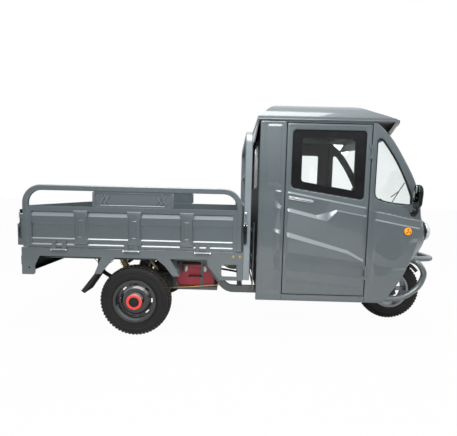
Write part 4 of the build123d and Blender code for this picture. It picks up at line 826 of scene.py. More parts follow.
# The solids that each finish goes on.
CARRIED = {
    "chassis_paint": "chassis_frame",
    "body_paint": "bed_frame bed_brackets head_board side_gate_left side_gate_right tailgate",
    "rack_paint": "head_rack",
    "black_plastic": "lamp_panel front_latches dashboard",
    "lamp_red": "tail_lamps",
    "flap_rubber": "mud_flaps",
    "axle_black": "rear_axle leaf_springs",
    "motor_grey": "drive_motor",
    "yellow_zinc": "shock_absorbers brake_rods",
    "battery_red": "battery_box",
    "frame_black": "cab_floor seat_base wiper front_fork handlebar",
    "cab_paint": "cab_side_left cab_side_right cab_rear_wall door_left door_right",
    "pane_glass": "fixed_glass windscreen door_glass_left door_glass_right",
    "nose_paint": "cab_nose",
    "roof_paint": "roof",
    "gloss_black": "headlamp_bezels mirrors front_mudguard",
    "lens_glass": "headlamp_lenses",
    "amber_plastic": "side_signals",
    "bumper_paint": "bumper",
    "spoke_silver": "rim_front",
    "rim_black": "rim_rear_left rim_rear_right",
    "ring_red": "hub_ring_left hub_ring_right",
    "chrome": "door_handle_left door_handle_right",
    "tyre_side": "tyre_front tyre_rear_left tyre_rear_right",
    "seat_cover": "seat_pads",
}


class CARGO_OT_finishes(Operator):
    """Make the finishes and give each solid its own"""
    bl_idname = "cargo.finishes"
    bl_label = "Finishes"

    def execute(self, context):
        make_finishes(context.scene.cargo_colours)
        for finish, nodes in CARRIED.items():
            for node in nodes.split():
                for slot in frame["nodes"][node].material_slots:
                    slot.material = FINISHES[finish]
        return {"FINISHED"}


def studio_world(scene, sky):
    """Soft light from all round, white to the camera and paler upwards in what shines."""
    scene.world = bpy.data.worlds.new("studio")
    scene.world.use_nodes = True
    nodes = Nodes(scene.world.node_tree)

    def ray(kind):
        return nodes.node("ShaderNodeLightPath", {}, {}, kind)

    def background(colour, strength=1.0):
        return nodes.node("ShaderNodeBackground", {}, [colour, strength])

    height = nodes.node("ShaderNodeSeparateXYZ", {},
                        [nodes.node("ShaderNodeTexCoord", {}, {}, "Generated")], "Z")
    levels = [(place, (level * 0.94, level * 0.98, level, 1.0))
              for place, level in ((0.02, 0.16), (0.08, 0.28), (0.16, 0.62), (0.3, 0.95))]
    stops = [(0.0, (0.5, 0.5, 0.5, 1.0)), *levels, (1.0, (1.0, 1.0, 1.0, 1.0))]
    studio = background(nodes.node("ShaderNodeValToRGB", {"stops": stops}, [height]))
    soft = background((0.93, 0.96, 1.0, 1.0), sky)
    shiny = nodes.node("ShaderNodeMixShader", {}, [ray("Is Glossy Ray"), soft, studio])
    clear = nodes.node("ShaderNodeMath", {"operation": "MAXIMUM"},
                       [ray("Is Camera Ray"), ray("Is Transmission Ray")])
    seen = background((1.0, 1.0, 1.0, 1.0))
    choose = nodes.node("ShaderNodeMixShader", {}, [clear, shiny, seen])
    nodes.node("ShaderNodeOutputWorld", {}, [choose], None)


def pale_floor():
    """Matt grey floor that takes shadows and looks almost white to the camera."""
    made = Finish("pale_floor")
    made.set(Base_Color=(0.5, 0.5, 0.495, 1.0), Roughness=0.9)
    share = made.node("ShaderNodeLightPath", {}, {}, "Is Camera Ray") * 0.97
    glow = made.node("ShaderNodeEmission", {}, [(1.0, 1.0, 1.0, 1.0)])
    choose = made.node("ShaderNodeMixShader", {}, [share, Wire(made, made.shader.outputs[0]), glow])
    made.join(choose, made.surface)
    return made.material


class CARGO_OT_stage(Operator):
    """Make the floor, the soft studio light and the camera"""
    bl_idname = "cargo.stage"
    bl_label = "Stage"

    def execute(self, context):
        light = context.scene.cargo_light
        studio_world(context.scene, light.sky)
        mesh = bpy.data.meshes.new("floor")
        mesh.from_pydata([(x, y, 0) for x, y in rectangle(-30, -30, 30, 30)], [], [(0, 1, 2, 3)])
        mesh.materials.append(pale_floor())
        linked("floor", mesh)

        for name, place, aim, size, power in (
            ("key", (-0.6, -2.2, 4.2), (0.0, 0.0, 0.9), 4.0, light.key),
            ("back", (0.5, 3.2, 3.4), (0.0, 0.0, 0.9), 3.5, light.key * 0.5),
            ("fill", (0.8, -4.6, 1.6), (0.2, 0.0, 0.9), 3.0, light.fill),
            ("nose", (4.6, -0.6, 2.0), (1.0, 0.0, 0.9), 2.5, light.fill),
        ):
            lamp = bpy.data.lights.new(name, "AREA")
            lamp.energy, lamp.size = power, size
            holder = linked(name, lamp)
            holder.visible_glossy = name == "key"
            holder.location = place
            way = Vector(aim) - Vector(place)
            holder.rotation_euler = way.to_track_quat("-Z", "Y").to_euler()

        eye = bpy.data.cameras.new("camera")
        eye.sensor_width, eye.lens = 36.0, 24.75
        camera = linked("camera", eye)
        yaw, pitch, roll = [radians(angle) for angle in (0.631, 4.504, 1.369)]
        ahead = Vector((-sin(yaw) * cos(pitch), cos(yaw) * cos(pitch), -sin(pitch)))
        right = Vector((cos(yaw), sin(yaw), 0.0))
        upward = right.cross(ahead)
        turned_right = right * cos(roll) + upward * sin(roll)
        turned_up = upward * cos(roll) - right * sin(roll)
        camera.matrix_world = Matrix.Translation((-0.0719, -2.9021, 1.1218)) @ Matrix(
            (turned_right, turned_up, -ahead)).transposed().to_4x4()
        context.scene.camera = camera
        context.scene.view_settings.view_transform = "Standard"
        return {"FINISHED"}


# -------------------- cab: pressed sides
class CARGO_PG_cab(PropertyGroup):
    """Sizes of the cab's pressed skins."""

    gap: FloatProperty(name="Facet", description="Spacing of the skins' facets",
                       default=0.009, min=0.004, unit="LENGTH")
    depth: FloatProperty(name="Pressing", description="Depth of the creases, 1 as made",
                         default=2.0, min=0.0, max=3.0)
    seal: FloatProperty(name="Seal", description="Radius of the rubber round the glass",
                        default=0.0055, min=0.002, unit="LENGTH")


PANE = [(1.169, 1.174), (1.718, 1.092), (1.718, 1.605), (1.169, 1.605)]
PANE_CLEAR = [(1.244, 1.222), (1.642, 1.16), (1.642, 1.544), (1.244, 1.544)]
FRONT_EDGE = [(1.905, 0.308), (1.973, 0.405), (2.042, 0.524), (2.11, 0.688), (2.146, 0.865),
              (2.147, 1.029), (2.096, 1.228), (1.993, 1.417), (1.887, 1.571), (1.78, 1.668)]
FRONT_PANE = [(1.796, 1.108), (1.915, 1.076), (2.078, 1.062), (2.074, 1.13), (2.034, 1.228),
              (1.94, 1.404), (1.845, 1.536), (1.82, 1.552), (1.796, 1.54)]

# Creases from the top down: their line across the vehicle's length, and how far out.
BELT = [(0.9, 1.165), (1.158, 1.137), (1.735, 1.033), (1.813, 1.009), (1.936, 0.988),
        (2.02, 0.969), (2.16, 0.945)]
FOLD = [(0.9, 1.135), (1.045, 1.1), (1.1, 1.035), (1.162, 1.019), (1.37, 0.97),
        (1.52, 1.016), (1.735, 0.978), (1.813, 0.954), (2.045, 0.911), (2.16, 0.893)]
FOLD_FOOT = [(0.9, 1.05), (1.055, 1.026), (1.162, 0.994), (1.375, 0.944), (1.448, 0.926),
             (1.52, 1.006), (1.735, 0.969), (1.813, 0.945), (2.045, 0.902), (2.16, 0.884)]
BAND = [(0.9, 0.885), (1.053, 0.868), (1.165, 0.838), (1.62, 0.71), (1.735, 0.645)]
BAND_FOOT = [(0.9, 0.85), (1.054, 0.84), (1.165, 0.801), (1.614, 0.686), (1.735, 0.625)]
SHADE = [(0.9, 0.712), (1.175, 0.687), (1.735, 0.622)]
SHADE_FOOT = [(0.9, 0.672), (1.177, 0.648), (1.735, 0.596)]
SWELL = [(0.9, 0.56), (1.18, 0.545), (1.735, 0.5)]
LOW = [(0.9, 0.5), (1.183, 0.479), (1.735, 0.432)]
HOLLOW = [(1.763, 0.836), (1.831, 0.829), (1.937, 0.812), (2.057, 0.81), (2.16, 0.818)]
VEE = [(1.763, 0.745), (1.834, 0.703), (1.927, 0.64), (1.98, 0.638), (2.09, 0.776), (2.16, 0.8)]
SCOOP = [(1.763, 0.63), (1.815, 0.622), (1.85, 0.602), (1.962, 0.589), (2.16, 0.6)]
SCOOP_FOOT = [(1.763, 0.53), (1.829, 0.52), (1.9, 0.519), (1.96, 0.56), (2.16, 0.58)]
CHIN = [(1.763, 0.47), (1.822, 0.463), (1.908, 0.439), (2.16, 0.4)]

DOOR_ROWS = ((BELT, 0.008, 0.004), (BELT, -0.003, 0.0072), (FOLD, 0.002, 0.0028),
             (FOLD_FOOT, 0.0, 0.0105), (BAND, 0.0, 0.003), (BAND_FOOT, 0.0, 0.011),
             (SHADE, 0.0, 0.01), (SHADE_FOOT, 0.0, 0.0028), (SWELL, 0.0, 0.0085),
             (LOW, 0.0, 0.008), (LOW, -0.02, 0.0062))
FRONT_ROWS = ((BELT, 0.006, 0.0036), (BELT, -0.004, 0.0072), (FOLD, 0.002, 0.004),
              (FOLD_FOOT, 0.0, 0.008), (HOLLOW, 0.0, 0.0058), (VEE, 0.0, 0.0095),
              (SCOOP, 0.0, 0.006), (SCOOP_FOOT, 0.0, 0.009), (CHIN, 0.0, 0.007))
FRAME_OUT = 0.0045


def height_at(line, x):
    """Height of a crease at x."""
    return float(np.interp(x, [p[0] for p in line], [p[1] for p in line]))


def crease_out(rows, x, z):
    """How far out the pressing stands, from the crease rows above and below."""
    above_z, above_out = 9.0, FRAME_OUT
    for line, shift, out in rows:
        row_z = min(height_at(line, x) + shift, above_z - 0.003)
        if z >= row_z:
            if above_z > 8.0:
                return FRAME_OUT if z > row_z + 0.004 else out
            share = (z - row_z) / (above_z - row_z)
            return out + (above_out - out) * share
        above_z, above_out = row_z, out
    share = min(1.0, (above_z - z) / 0.1)
    return above_out + (0.0035 - above_out) * share


def step_up(value, low, high):
    """Smooth step from 0 to 1."""
    t = min(1.0, max(0.0, (value - low) / (high - low)))
    return t * t * (3 - 2 * t)


def door_relief(x, z, depth):
    """How far a door's skin stands out of the cab's side."""
    if z > height_at(BELT, x) + 0.008:
        return FRAME_OUT - 0.0014 * step_up(min(x - 1.146, 1.742 - x, 1.632 - z), 0.0, 0.006)
    inner = step_up(min(x - 1.146, 1.742 - x, z - 0.384, 1.636 - z), 0.0, 0.01)
    return FRAME_OUT + inner * depth * (crease_out(DOOR_ROWS, x, z) - FRAME_OUT)


def quarter_relief(x, z, depth):
    """How far the panel behind a door stands out."""
    inner = step_up(min(x - 0.962, 1.104 - x, z - 0.366, 1.65 - z), 0.0, 0.008)
    out = FRAME_OUT - 0.0022 * inner
    raised = min(x - 0.985, 1.094 - x, z - 1.2, 1.636 - z)
    if raised > -0.004:
        return out + 0.0048 * step_up(raised, -0.003, 0.006)
    fade = step_up(x, 1.035, 1.092)
    pressed = FRAME_OUT + depth * (crease_out(DOOR_ROWS, x, z) - FRAME_OUT)
    return out + (pressed - out) * fade * inner


def front_relief(x, z, depth):
    """How far the panel ahead of a door stands out."""
    if z < 0.358:
        return FRAME_OUT + 0.0012
    inner = step_up(min(x - 1.808, z - 0.392), 0.0, 0.012)
    top = FRAME_OUT + 0.0012 * step_up(height_at(BELT, x) + 0.012 - z, -0.01, 0.0)
    if z > height_at(BELT, x) + 0.006:
        return FRAME_OUT
    return top + inner * depth * (crease_out(FRONT_ROWS, x, z) - top)


def sill_relief(x, z, depth):
    """The sill under a door is flat."""
    return FRAME_OUT + 0.0012


def lines_of(rows, x0, x1):
    """The crease rows as polylines between two places."""
    out = []
    for line, shift, _ in rows:
        xs = sorted({x0, x1, *[p[0] for p in line if x0 < p[0] < x1]})
        out.append([(x, height_at(line, x) + shift) for x in xs])
    return out


def smooth_edge(points, steps=7):
    """Smooth open curve through points in a plane."""
    out = []
    count = len(points)
    for index in range(count - 1):
        p1, p2 = Vector(points[index]), Vector(points[index + 1])
        p0 = Vector(points[index - 1]) if index else p1 * 2 - p2
        p3 = Vector(points[index + 2]) if index + 2 < count else p2 * 2 - p1
        for step in range(steps):
            t = step / steps
            square, cube = 2 * p0 - 5 * p1 + 4 * p2 - p3, 3 * p1 - p0 - 3 * p2 + p3
            out.append(tuple(0.5 * (2 * p1 + (p2 - p0) * t + square * t ** 2 + cube * t ** 3)))
    out.append(tuple(points[-1]))
    return out


def side_skin(name, way, body, outline, holes, rows, relief, gap, depth):
    """Pressed skin laid on one side wall or door."""
    def stands_out(x, z):
        return relief(x, z, depth)

    def skin(x, z, out):
        return Vector((at(x), way * (CAB_HALF_W + out), z))

    xs = [x for x, _ in outline]
    creases = lines_of(rows, min(xs), max(xs))
    form = Form()
    form.take(pressed_sheet(outline, holes, creases, stands_out, skin, gap), turn_out=False)
    form.made(name, body, "body_paint", angle=50.0, slot="paint")


class CARGO_OT_cab_skins(Operator):
    """Press the skins of the doors, the quarter panels and the front side panels"""
    bl_idname = "cargo.cab_skins"
    bl_label = "Cab skins"

    def execute(self, context):
        sizes = context.scene.cargo_cab
        door = rounded(rectangle(1.1315, 0.3635, 1.7525, 1.6485), 0.006)
        quarter = rounded(rectangle(0.932, 0.31, 1.1225, 1.664), 0.006)
        sill = rounded(rectangle(1.1245, 0.31, 1.7585, 0.3545), 0.004)
        edge = [(x - 0.002, z) for x, z in smooth_edge(FRONT_EDGE)]
        front = [(1.7615, 1.664), (1.7615, 0.31)] + edge[1:-1]
        skins = (
            ("door_skin", door, [rounded(PANE, 0.036)], DOOR_ROWS, door_relief, sizes.gap),
            ("quarter_skin", quarter, [], DOOR_ROWS, quarter_relief, sizes.gap),
            ("front_side_skin", front, [rounded(FRONT_PANE, 0.05)], FRONT_ROWS, front_relief,
             sizes.gap),
            ("sill_skin", sill, [], (), sill_relief, 0.02),
        )
        for side, way in SIDES:
            for name, *rest in skins:
                body = f"door_{side}" if name == "door_skin" else "chassis"
                side_skin(f"{name}_{side}", way, body, *rest, sizes.depth)
        return {"FINISHED"}


class CARGO_OT_cab_seals(Operator):
    """Set the rubber round the glass and the door openings, and the black pane borders"""
    bl_idname = "cargo.cab_seals"
    bl_label = "Cab seals"

    def execute(self, context):
        radius = context.scene.cargo_cab.seal
        for side, way in SIDES:
            pane = rounded(PANE, 0.036, 7)
            clear = rounded(PANE_CLEAR, 0.024, 7)
            border = bmesh.new()
            skinned(border, [[border.verts.new((at(x), way * depth, z)) for x, z in outline]
                             for outline, depth in ((pane, 0.5222), (clear, 0.5222),
                                                    (clear, 0.5236), (pane, 0.5236))], True)
            form = Form()
            form.take(border)
            form.tube([(at(x), way * 0.5262, z) for x, z in pane], radius, 8, 1, closed=True)
            form.tube([(at(x), way * 0.5242, z) for x, z in clear], 0.0026, 8, 1, closed=True)
            form.made(f"pane_border_{side}", f"door_{side}", "gloss_black", "seal_rubber",
                      slot="rubber")

            form = Form()
            quarter = rounded(FRONT_PANE, 0.05, 7)
            form.tube([(at(x), way * 0.5275, z) for x, z in quarter], radius * 1.3, 8, closed=True)
            y, thick = way * 0.50065, 0.0047
            for x in (1.1295, 1.7545):
                form.block(spot(x, y, 1.006), (0.013, thick, 1.3))
            for z in (0.362, 1.65):
                form.block(spot(1.442, y, z), (0.62, thick, 0.013))
            form.made(f"opening_seal_{side}", "chassis", "seal_rubber", slot="rubber")
        return {"FINISHED"}


class CARGO_OT_door_handles(Operator):
    """Make the plated handles with their dark cup, lever and key barrel"""
    bl_idname = "cargo.door_handles"
    bl_label = "Door handles"

    def execute(self, context):
        for side, way in SIDES:
            slope = atan2(1.062 - 1.088, 1.341 - 1.151)
            middle = spot(1.247, way * 0.5365, 1.0875)
            along = Vector((cos(slope), 0.0, sin(slope)))
            placed = Matrix((along, (Y * way).cross(along), Y * way)).transposed().to_4x4()
            placed.translation = middle
            form = Form()
            base = [(-0.096, -0.011), (0.07, -0.012), (0.096, -0.004), (0.096, 0.006),
                    (0.07, 0.012), (-0.096, 0.013)]
            form.plate(rounded(base, 0.008), 0.006, placed, 0.002, 0)
            # Black cup behind the lever: painted shade of the plated handle's recess.
            cup = [(-0.05, -0.007), (0.074, -0.008), (0.082, 0.0), (0.074, 0.008), (-0.05, 0.008)]
            form.plate(rounded(cup, 0.006), 0.0066, placed, 0.0004, 1)
            spine = [Vector((x, 0.001, z)) for x, z in
                     ((-0.05, 0.006), (-0.03, 0.0125), (0.01, 0.014), (0.055, 0.0125),
                      (0.088, 0.006))]
            path = [placed @ p for p in bent(spine, 0.02, 4)]
            form.tube(path, 0.0072, 14, 0, flat=0.55)
            barrel = placed @ Vector((-0.076, 0.0, 0.0))
            form.turned([(0.0, 0.0105), (0.0055, 0.0105), (0.0072, 0.0098), (0.0075, 0.005)],
                        barrel, Y * way, 24, 0)
            # Black key slot: painted shade in the keyhole.
            form.block(placed @ Vector((-0.076, 0.0, 0.0106)), (0.0016, 0.0008, 0.007), 0.0,
                       None, 1)
            form.made(f"handle_{side}", f"door_{side}", "chrome", "black_plastic", slot="chrome",
                      stands_for=f"door_handle_{side}")
        return {"FINISHED"}


# -------------------- bed: gates, latches, bolts
class CARGO_PG_bed(PropertyGroup):
    """Sizes of the bed's fittings."""

    bolt: FloatProperty(name="Bolt", description="Width across a fixing bolt's head",
                        default=0.013, min=0.006, unit="LENGTH")
    tread_bars: IntProperty(name="Floor ribs", description="Pressed ribs along the bed's floor",
                            default=11, min=3, max=24)


def hex_bolt(width):
    """Six-sided head on its washer, standing on its own Z."""
    form = Form()
    form.turned([(width * 0.85, 0), (width * 0.85, 0.0012), (width * 0.5, 0.0016)],
                (0, 0, 0), Z, 16)
    form.turned([(width * 0.57, 0.0012), (width * 0.57, 0.0058), (width * 0.48, 0.0072),
                 (0, 0.0072)], (0, 0, 0), Z, 6)
    return form


RIB = [(-0.012, 0), (-0.006, 0.0022), (0.006, 0.0022), (0.012, 0)]
PILASTER = [(0.052, 0.716), (0.052, 0.734), (0.037, 0.772), (0.037, 0.902), (0.053, 0.938),
            (0.053, 0.968)]


def pilaster(form, foot, outward):
    """Flared upright of a pressed gate, with a narrow pressed frame on its face."""
    outline = PILASTER + [(-x, z) for x, z in reversed(PILASTER)]
    form.plate(outline, 0.0185, facing(foot - outward * 0.013, outward), 0.005)
    turn = facing(foot + outward * 0.0055, outward)
    border = rounded(rectangle(-0.015, 0.77, 0.015, 0.896), 0.005)
    form.tube([turn @ Vector((x, z, 0)) for x, z in border], 0.0026, 8, closed=True)


def toggle_latch(form, top, foot, outward, wide):
    """Plated pull ring over a catch, with a dark lever below it on its base plate."""
    down = (foot - top).normalized()
    side = down.cross(outward).normalized()
    length = (foot - top).length
    turn = Matrix((side, down.cross(side) * -1, down)).transposed()

    def place(share, out, across=0):
        return top + down * (length * share) + outward * out + side * wide * across

    form.block(place(0.62, 0.003), (wide, 0.004, length * 0.66), 0.0012, turn, 1)
    form.block(place(0.012 / length, 0.004), (wide * 0.8, 0.006, 0.03), 0.0012, turn, 1)
    for share, out, across, radius in ((0.004 / length, 0.012, 0.3, 0.0045),
                                       (0.4, 0.01, 0.45, 0.004)):
        form.tube([place(share, out, across), place(share, out, -across)], radius, 10, 0)
    ring = ring_of(place(0.2, 0.013), 1.0, side * wide * 0.36, down * length * 0.185, 28)
    form.tube(ring, 0.0036, 10, 0, closed=True)
    path = bent([place(0.36, 0.013), place(0.6, 0.022), place(0.86, 0.019), place(0.98, 0.012)],
                0.03, 5)
    form.tube(path, [0.009] * 3 + [0.012] * (len(path) - 5) + [0.009, 0.006], 12, 2, flat=0.55)


class CARGO_OT_gate_fittings(Operator):
    """Make the gates' pilasters, hinge pins, board pressings, latches and weld beads"""
    bl_idname = "cargo.gate_fittings"
    bl_label = "Gate fittings"

    def execute(self, context):
        width = context.scene.cargo_bed.bolt
        for side, way in SIDES:
            gate = f"side_gate_{side}"
            out = Y * way
            form = Form()
            for x in (-0.386, 0.013, 0.402):
                pilaster(form, spot(x, way * 0.599, 0), out)
            form.made(f"gate_pilasters_{side}", gate, "body_paint", slot="paint")

            form = Form()
            for x in (-0.548, -0.01, 0.522):
                pin = [spot(x + end, way * 0.606, 0.672) for end in (-0.061, 0.061)]
                form.tube(pin, 0.0072, 14)
            form.made(f"gate_pins_{side}", gate, "zinc", slot="brass")

            form = Form()
            for end in (-1, 1):
                inner = 0.2905 * end
                for index in (0, 1):
                    x = inner - end * (0.046 + 0.034 * index)
                    slash = ((x, 1.02), (x - end * 0.038, 1.092))
                    path = [spot(x, way * 0.5885, z) for x, z in slash]
                    form.tube(path, 0.0075, 10, 0, flat=0.55)
                lug = spot(inner + end * 0.004, way * 0.5862, 1.056)
                form.block(lug, (0.014, 0.01, 0.105), 0.002)
            border = [(-0.248, 1.01), (0.243, 1.01), (0.218, 1.102), (-0.222, 1.102)]
            form.tube([spot(x, way * 0.5878, z) for x, z in rounded(border, 0.012)], 0.0042, 8, 0,
                      closed=True, flat=0.8)
            form.made(f"board_pressing_{side}", gate, "body_paint", slot="paint")

            form = Form()
            toggle_latch(form, spot(-0.832, way * 0.585, 0.965), spot(-0.834, way * 0.585, 0.735),
                         -X, 0.026)
            form.made(f"rear_latch_{side}", gate, "chrome", "black_plastic", "gloss_black",
                      slot="chrome")
            form = Form()
            toggle_latch(form, spot(0.834, way * 0.6, 0.985), spot(0.834, way * 0.6, 0.742),
                         out, 0.028)
            form.made(f"front_latch_{side}", "chassis", "chrome", "rim_black", "gloss_black",
                      slot="chrome", stands_for="front_latches" if side == "right" else None)

            bolts = [(spot(x, way * 0.5975, 0.651), out, X) for x in (0.751, 0.8)]
            repeated(f"corner_bolts_{side}", "chassis", "yellow_zinc", bolts, hex_bolt(width),
                     slot="brass")

            form = Form()
            for x0, x1 in ((-0.82, -0.6), (-0.5, -0.06), (0.04, 0.47), (0.57, 0.8)):
                form.tube([spot(x, way * 0.5972, 0.6835) for x in (x0, x1)], 0.0014, 6)
            loop = bent([spot(-0.3, way * 0.56, 0.618), spot(-0.295, way * 0.565, 0.596),
                         spot(-0.24, way * 0.568, 0.56), spot(-0.17, way * 0.56, 0.575),
                         spot(-0.15, way * 0.55, 0.618)], 0.03, 5)
            form.tube(loop, 0.0022, 8, 1)
            form.made(f"rail_beads_{side}", "chassis", "body_paint", "black_plastic", slot="paint")
        return {"FINISHED"}


class CARGO_OT_bed_floor(Operator):
    """Lay the ribs of the bed's pressed floor and the tailgate's pilasters"""
    bl_idname = "cargo.bed_floor"
    bl_label = "Bed floor"

    def execute(self, context):
        count = context.scene.cargo_bed.tread_bars
        form = Form()
        for index in range(count):
            y = -0.51 + 1.02 * index / (count - 1)
            part = bmesh.new()
            ends = [[part.verts.new(spot(x, y + a, 0.6862 + b)) for a, b in RIB]
                    for x in (-0.77, 0.76)]
            skinned(part, ends)
            for end in ends:
                part.faces.new(end)
            form.take(part)
        form.made("floor_ribs", "chassis", "chassis_paint", slot="paint")

        form = Form()
        for y in (-0.33, 0, 0.33):
            pilaster(form, spot(-0.828, y, 0), -X)
        form.made("tailgate_pilasters", "tailgate", "body_paint", slot="paint")
        return {"FINISHED"}


class CARGO_OT_rear_lamps(Operator):
    """Make the rear lamp clusters with their ribs, and the plate lamp"""
    bl_idname = "cargo.rear_lamps"
    bl_label = "Rear lamps"

    def execute(self, context):
        low, high = [Vector(corner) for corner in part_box("tail_lamps")]
        tall, middle = high.z - low.z, (low.z + high.z) / 2
        inner_y, wide = 0.497, 0.097
        for side, way in SIDES:

            def place(out, share, z=middle):
                return Vector((low.x + out, way * (inner_y + wide * share), z))

            form = Form()
            form.block(place(0.0068, 0.5), (0.005, wide, tall), 0.002, None, 2)
            for start, end, colour in ((0, 0.44, 0), (0.46, 0.72, 1), (0.74, 1.0, 3)):
                share = 1 - (0.003 + (wide - 0.006) * (start + end) / 2) / wide
                size = (0.0052, (wide - 0.006) * (end - start), tall - 0.008)
                form.block(place(0.0035, share), size, 0.0015, None, colour)
            for index in range(9):
                z = low.z + 0.008 + (tall - 0.016) * index / 8
                form.block(place(0.0008, 0.5, z), (0.001, wide - 0.012, 0.0016), 0.0003)
            form.made(f"rear_lamp_{side}", "chassis", "lamp_red", "amber_plastic", "black_plastic",
                      "white_plastic", slot="lamp_red",
                      stands_for="tail_lamps" if side == "right" else None)
        form = Form()
        form.block(spot(-0.836, 0, 0.5985), (0.01, 0.06, 0.012), 0.003)
        form.block(spot(-0.8395, 0, 0.594), (0.004, 0.046, 0.006), 0.001, None, 1)
        form.made("plate_lamp", "chassis", "black_plastic", "white_plastic", slot="black_plastic")
        return {"FINISHED"}
# -------------------- wheels
class CARGO_PG_wheels(PropertyGroup):
    """Sizes of the tyres' tread."""

    blocks: IntProperty(name="Tread blocks", description="Blocks round each row of the tread",
                        default=58, min=24, max=90)
    block_height: FloatProperty(name="Block height", description="Height of a tread block",
                                default=0.007, min=0.002, unit="LENGTH")
    nuts: IntProperty(name="Wheel nuts", description="Nuts round each rear hub", default=4,
                      min=3, max=8)


# Half of a tyre's section, as (radius, half width) from the bead to the crown.
CARCASS = [(0.1525, 0.04), (0.158, 0.0445), (0.166, 0.0465), (0.171, 0.0472), (0.172, 0.049),
           (0.19, 0.052), (0.208, 0.0535), (0.2095, 0.0528), (0.212, 0.0528), (0.2135, 0.0536),
           (0.226, 0.0532), (0.24, 0.0508), (0.252, 0.0462), (0.26, 0.04), (0.265, 0.03),
           (0.2672, 0.015), (0.2675, 0)]
# Tread rows: block, radius, place across, turn in blocks, lean and skew.
TREAD_ROWS = (("middle", 0.2665, 0.0115, 0, 0, 0.45),
              ("middle", 0.2665, -0.0115, 0.5, 0, -0.45),
              ("flank", 0.2625, 0.0325, 0.5, -0.22, -0.2),
              ("flank", 0.2625, -0.0325, 0, 0.22, 0.2),
              ("shoulder", 0.251, 0.0462, 0, -0.85, 0),
              ("shoulder", 0.251, -0.0462, 0.5, 0.85, 0))


def tread_rule(finish):
    """Rule for a row of tread blocks round a wheel whose axle lies along Y."""
    rule = Rule("tread_rule", [("Block", "Object", None), ("Count", "Int", 58),
                               ("Radius", "Float", 0.262)]
                + [(label, "Float", 0) for label in ("Across", "Phase", "Lean", "Skew")])

    def along(**parts):
        return rule.node("ShaderNodeCombineXYZ", {},
                         {axis: rule.given(label) for axis, label in parts.items()})

    ring = rule.node("GeometryNodeMeshCircle", {},
                     {"Vertices": rule.given("Count"), "Radius": rule.given("Radius")})
    dots = rule.node("GeometryNodeMeshToPoints", {}, {"Mesh": ring})
    turn = rule.aimed("Z", rule.node("GeometryNodeInputPosition", {}, {}))
    row = rule.set_on(dots, "Block", rule.aimed("Y", tuple(Z), turn, "Z"))
    row = rule.node("GeometryNodeRotateInstances", {}, {
        "Instances": row, "Rotation": along(X="Lean", Z="Skew"), "Local Space": True})
    for move in ({"Rotation": along(Z="Phase")}, {"Rotation": (pi / 2, 0, 0)},
                 {"Translation": along(Y="Across")}):
        row = rule.node("GeometryNodeTransform", {}, {"Geometry": row, **move})
    return rule.ended(row, finish)


class CARGO_OT_tyres(Operator):
    """Make the tyres: carcass, side beads and rows of tread blocks"""
    bl_idname = "cargo.tyres"
    bl_label = "Tyres"

    def execute(self, context):
        sizes = context.scene.cargo_wheels
        tree = tread_rule("tyre_tread")
        shapes = {}
        for name, long, wide, share in (("middle", 0.021, 0.021, 1.0), ("flank", 0.02, 0.016, 1.0),
                                        ("shoulder", 0.019, 0.013, 0.9)):
            tall = sizes.block_height * share
            form = Form()
            form.block((0, 0, tall / 2), (long, wide, tall), 0.0011, taper=(0.86, 0.9), steps=1)
            shapes[name] = linked(name + "_block", form.mesh(name + "_block"))
        profile = CARCASS + [(radius, -wide) for radius, wide in reversed(CARCASS[:-1])]
        for node, x, y, body in (("tyre_front", WHEELBASE, 0, "front_wheel"),
                                 ("tyre_rear_left", 0, REAR_TRACK / 2, "rear_wheel_left"),
                                 ("tyre_rear_right", 0, -REAR_TRACK / 2, "rear_wheel_right")):
            centre = spot(x, y, TYRE_R)
            form = Form()
            form.turned(profile, centre, Y, 120, 0, closed=True)
            for way in (1, -1):
                for radius, wide in ((0.183, 0.0516), (0.219, 0.0538)):
                    form.tube(ring_of(centre + Y * way * wide, radius), 0.0011, 6, 0, closed=True)
            for index, (shape, radius, across, phase, lean, skew) in enumerate(TREAD_ROWS):
                values = {"Block": shapes[shape], "Count": sizes.blocks, "Radius": radius,
                          "Across": across, "Phase": phase * 2 * pi / sizes.blocks, "Lean": lean,
                          "Skew": skew}
                row = grown(f"{node}_row{index}", tree, values, body, "tyre_tread")
                row.data.transform(Matrix.Translation(centre))
                part = bmesh.new()
                part.from_mesh(row.data)
                form.take(part, 1, turn_out=False)
                bpy.data.objects.remove(row)
            form.made(f"{node}_treaded", body, "tyre_side", "tyre_tread", angle=38.0, slot="tyre",
                      stands_for=node)
        for shape in shapes.values():
            bpy.data.objects.remove(shape)
        return {"FINISHED"}


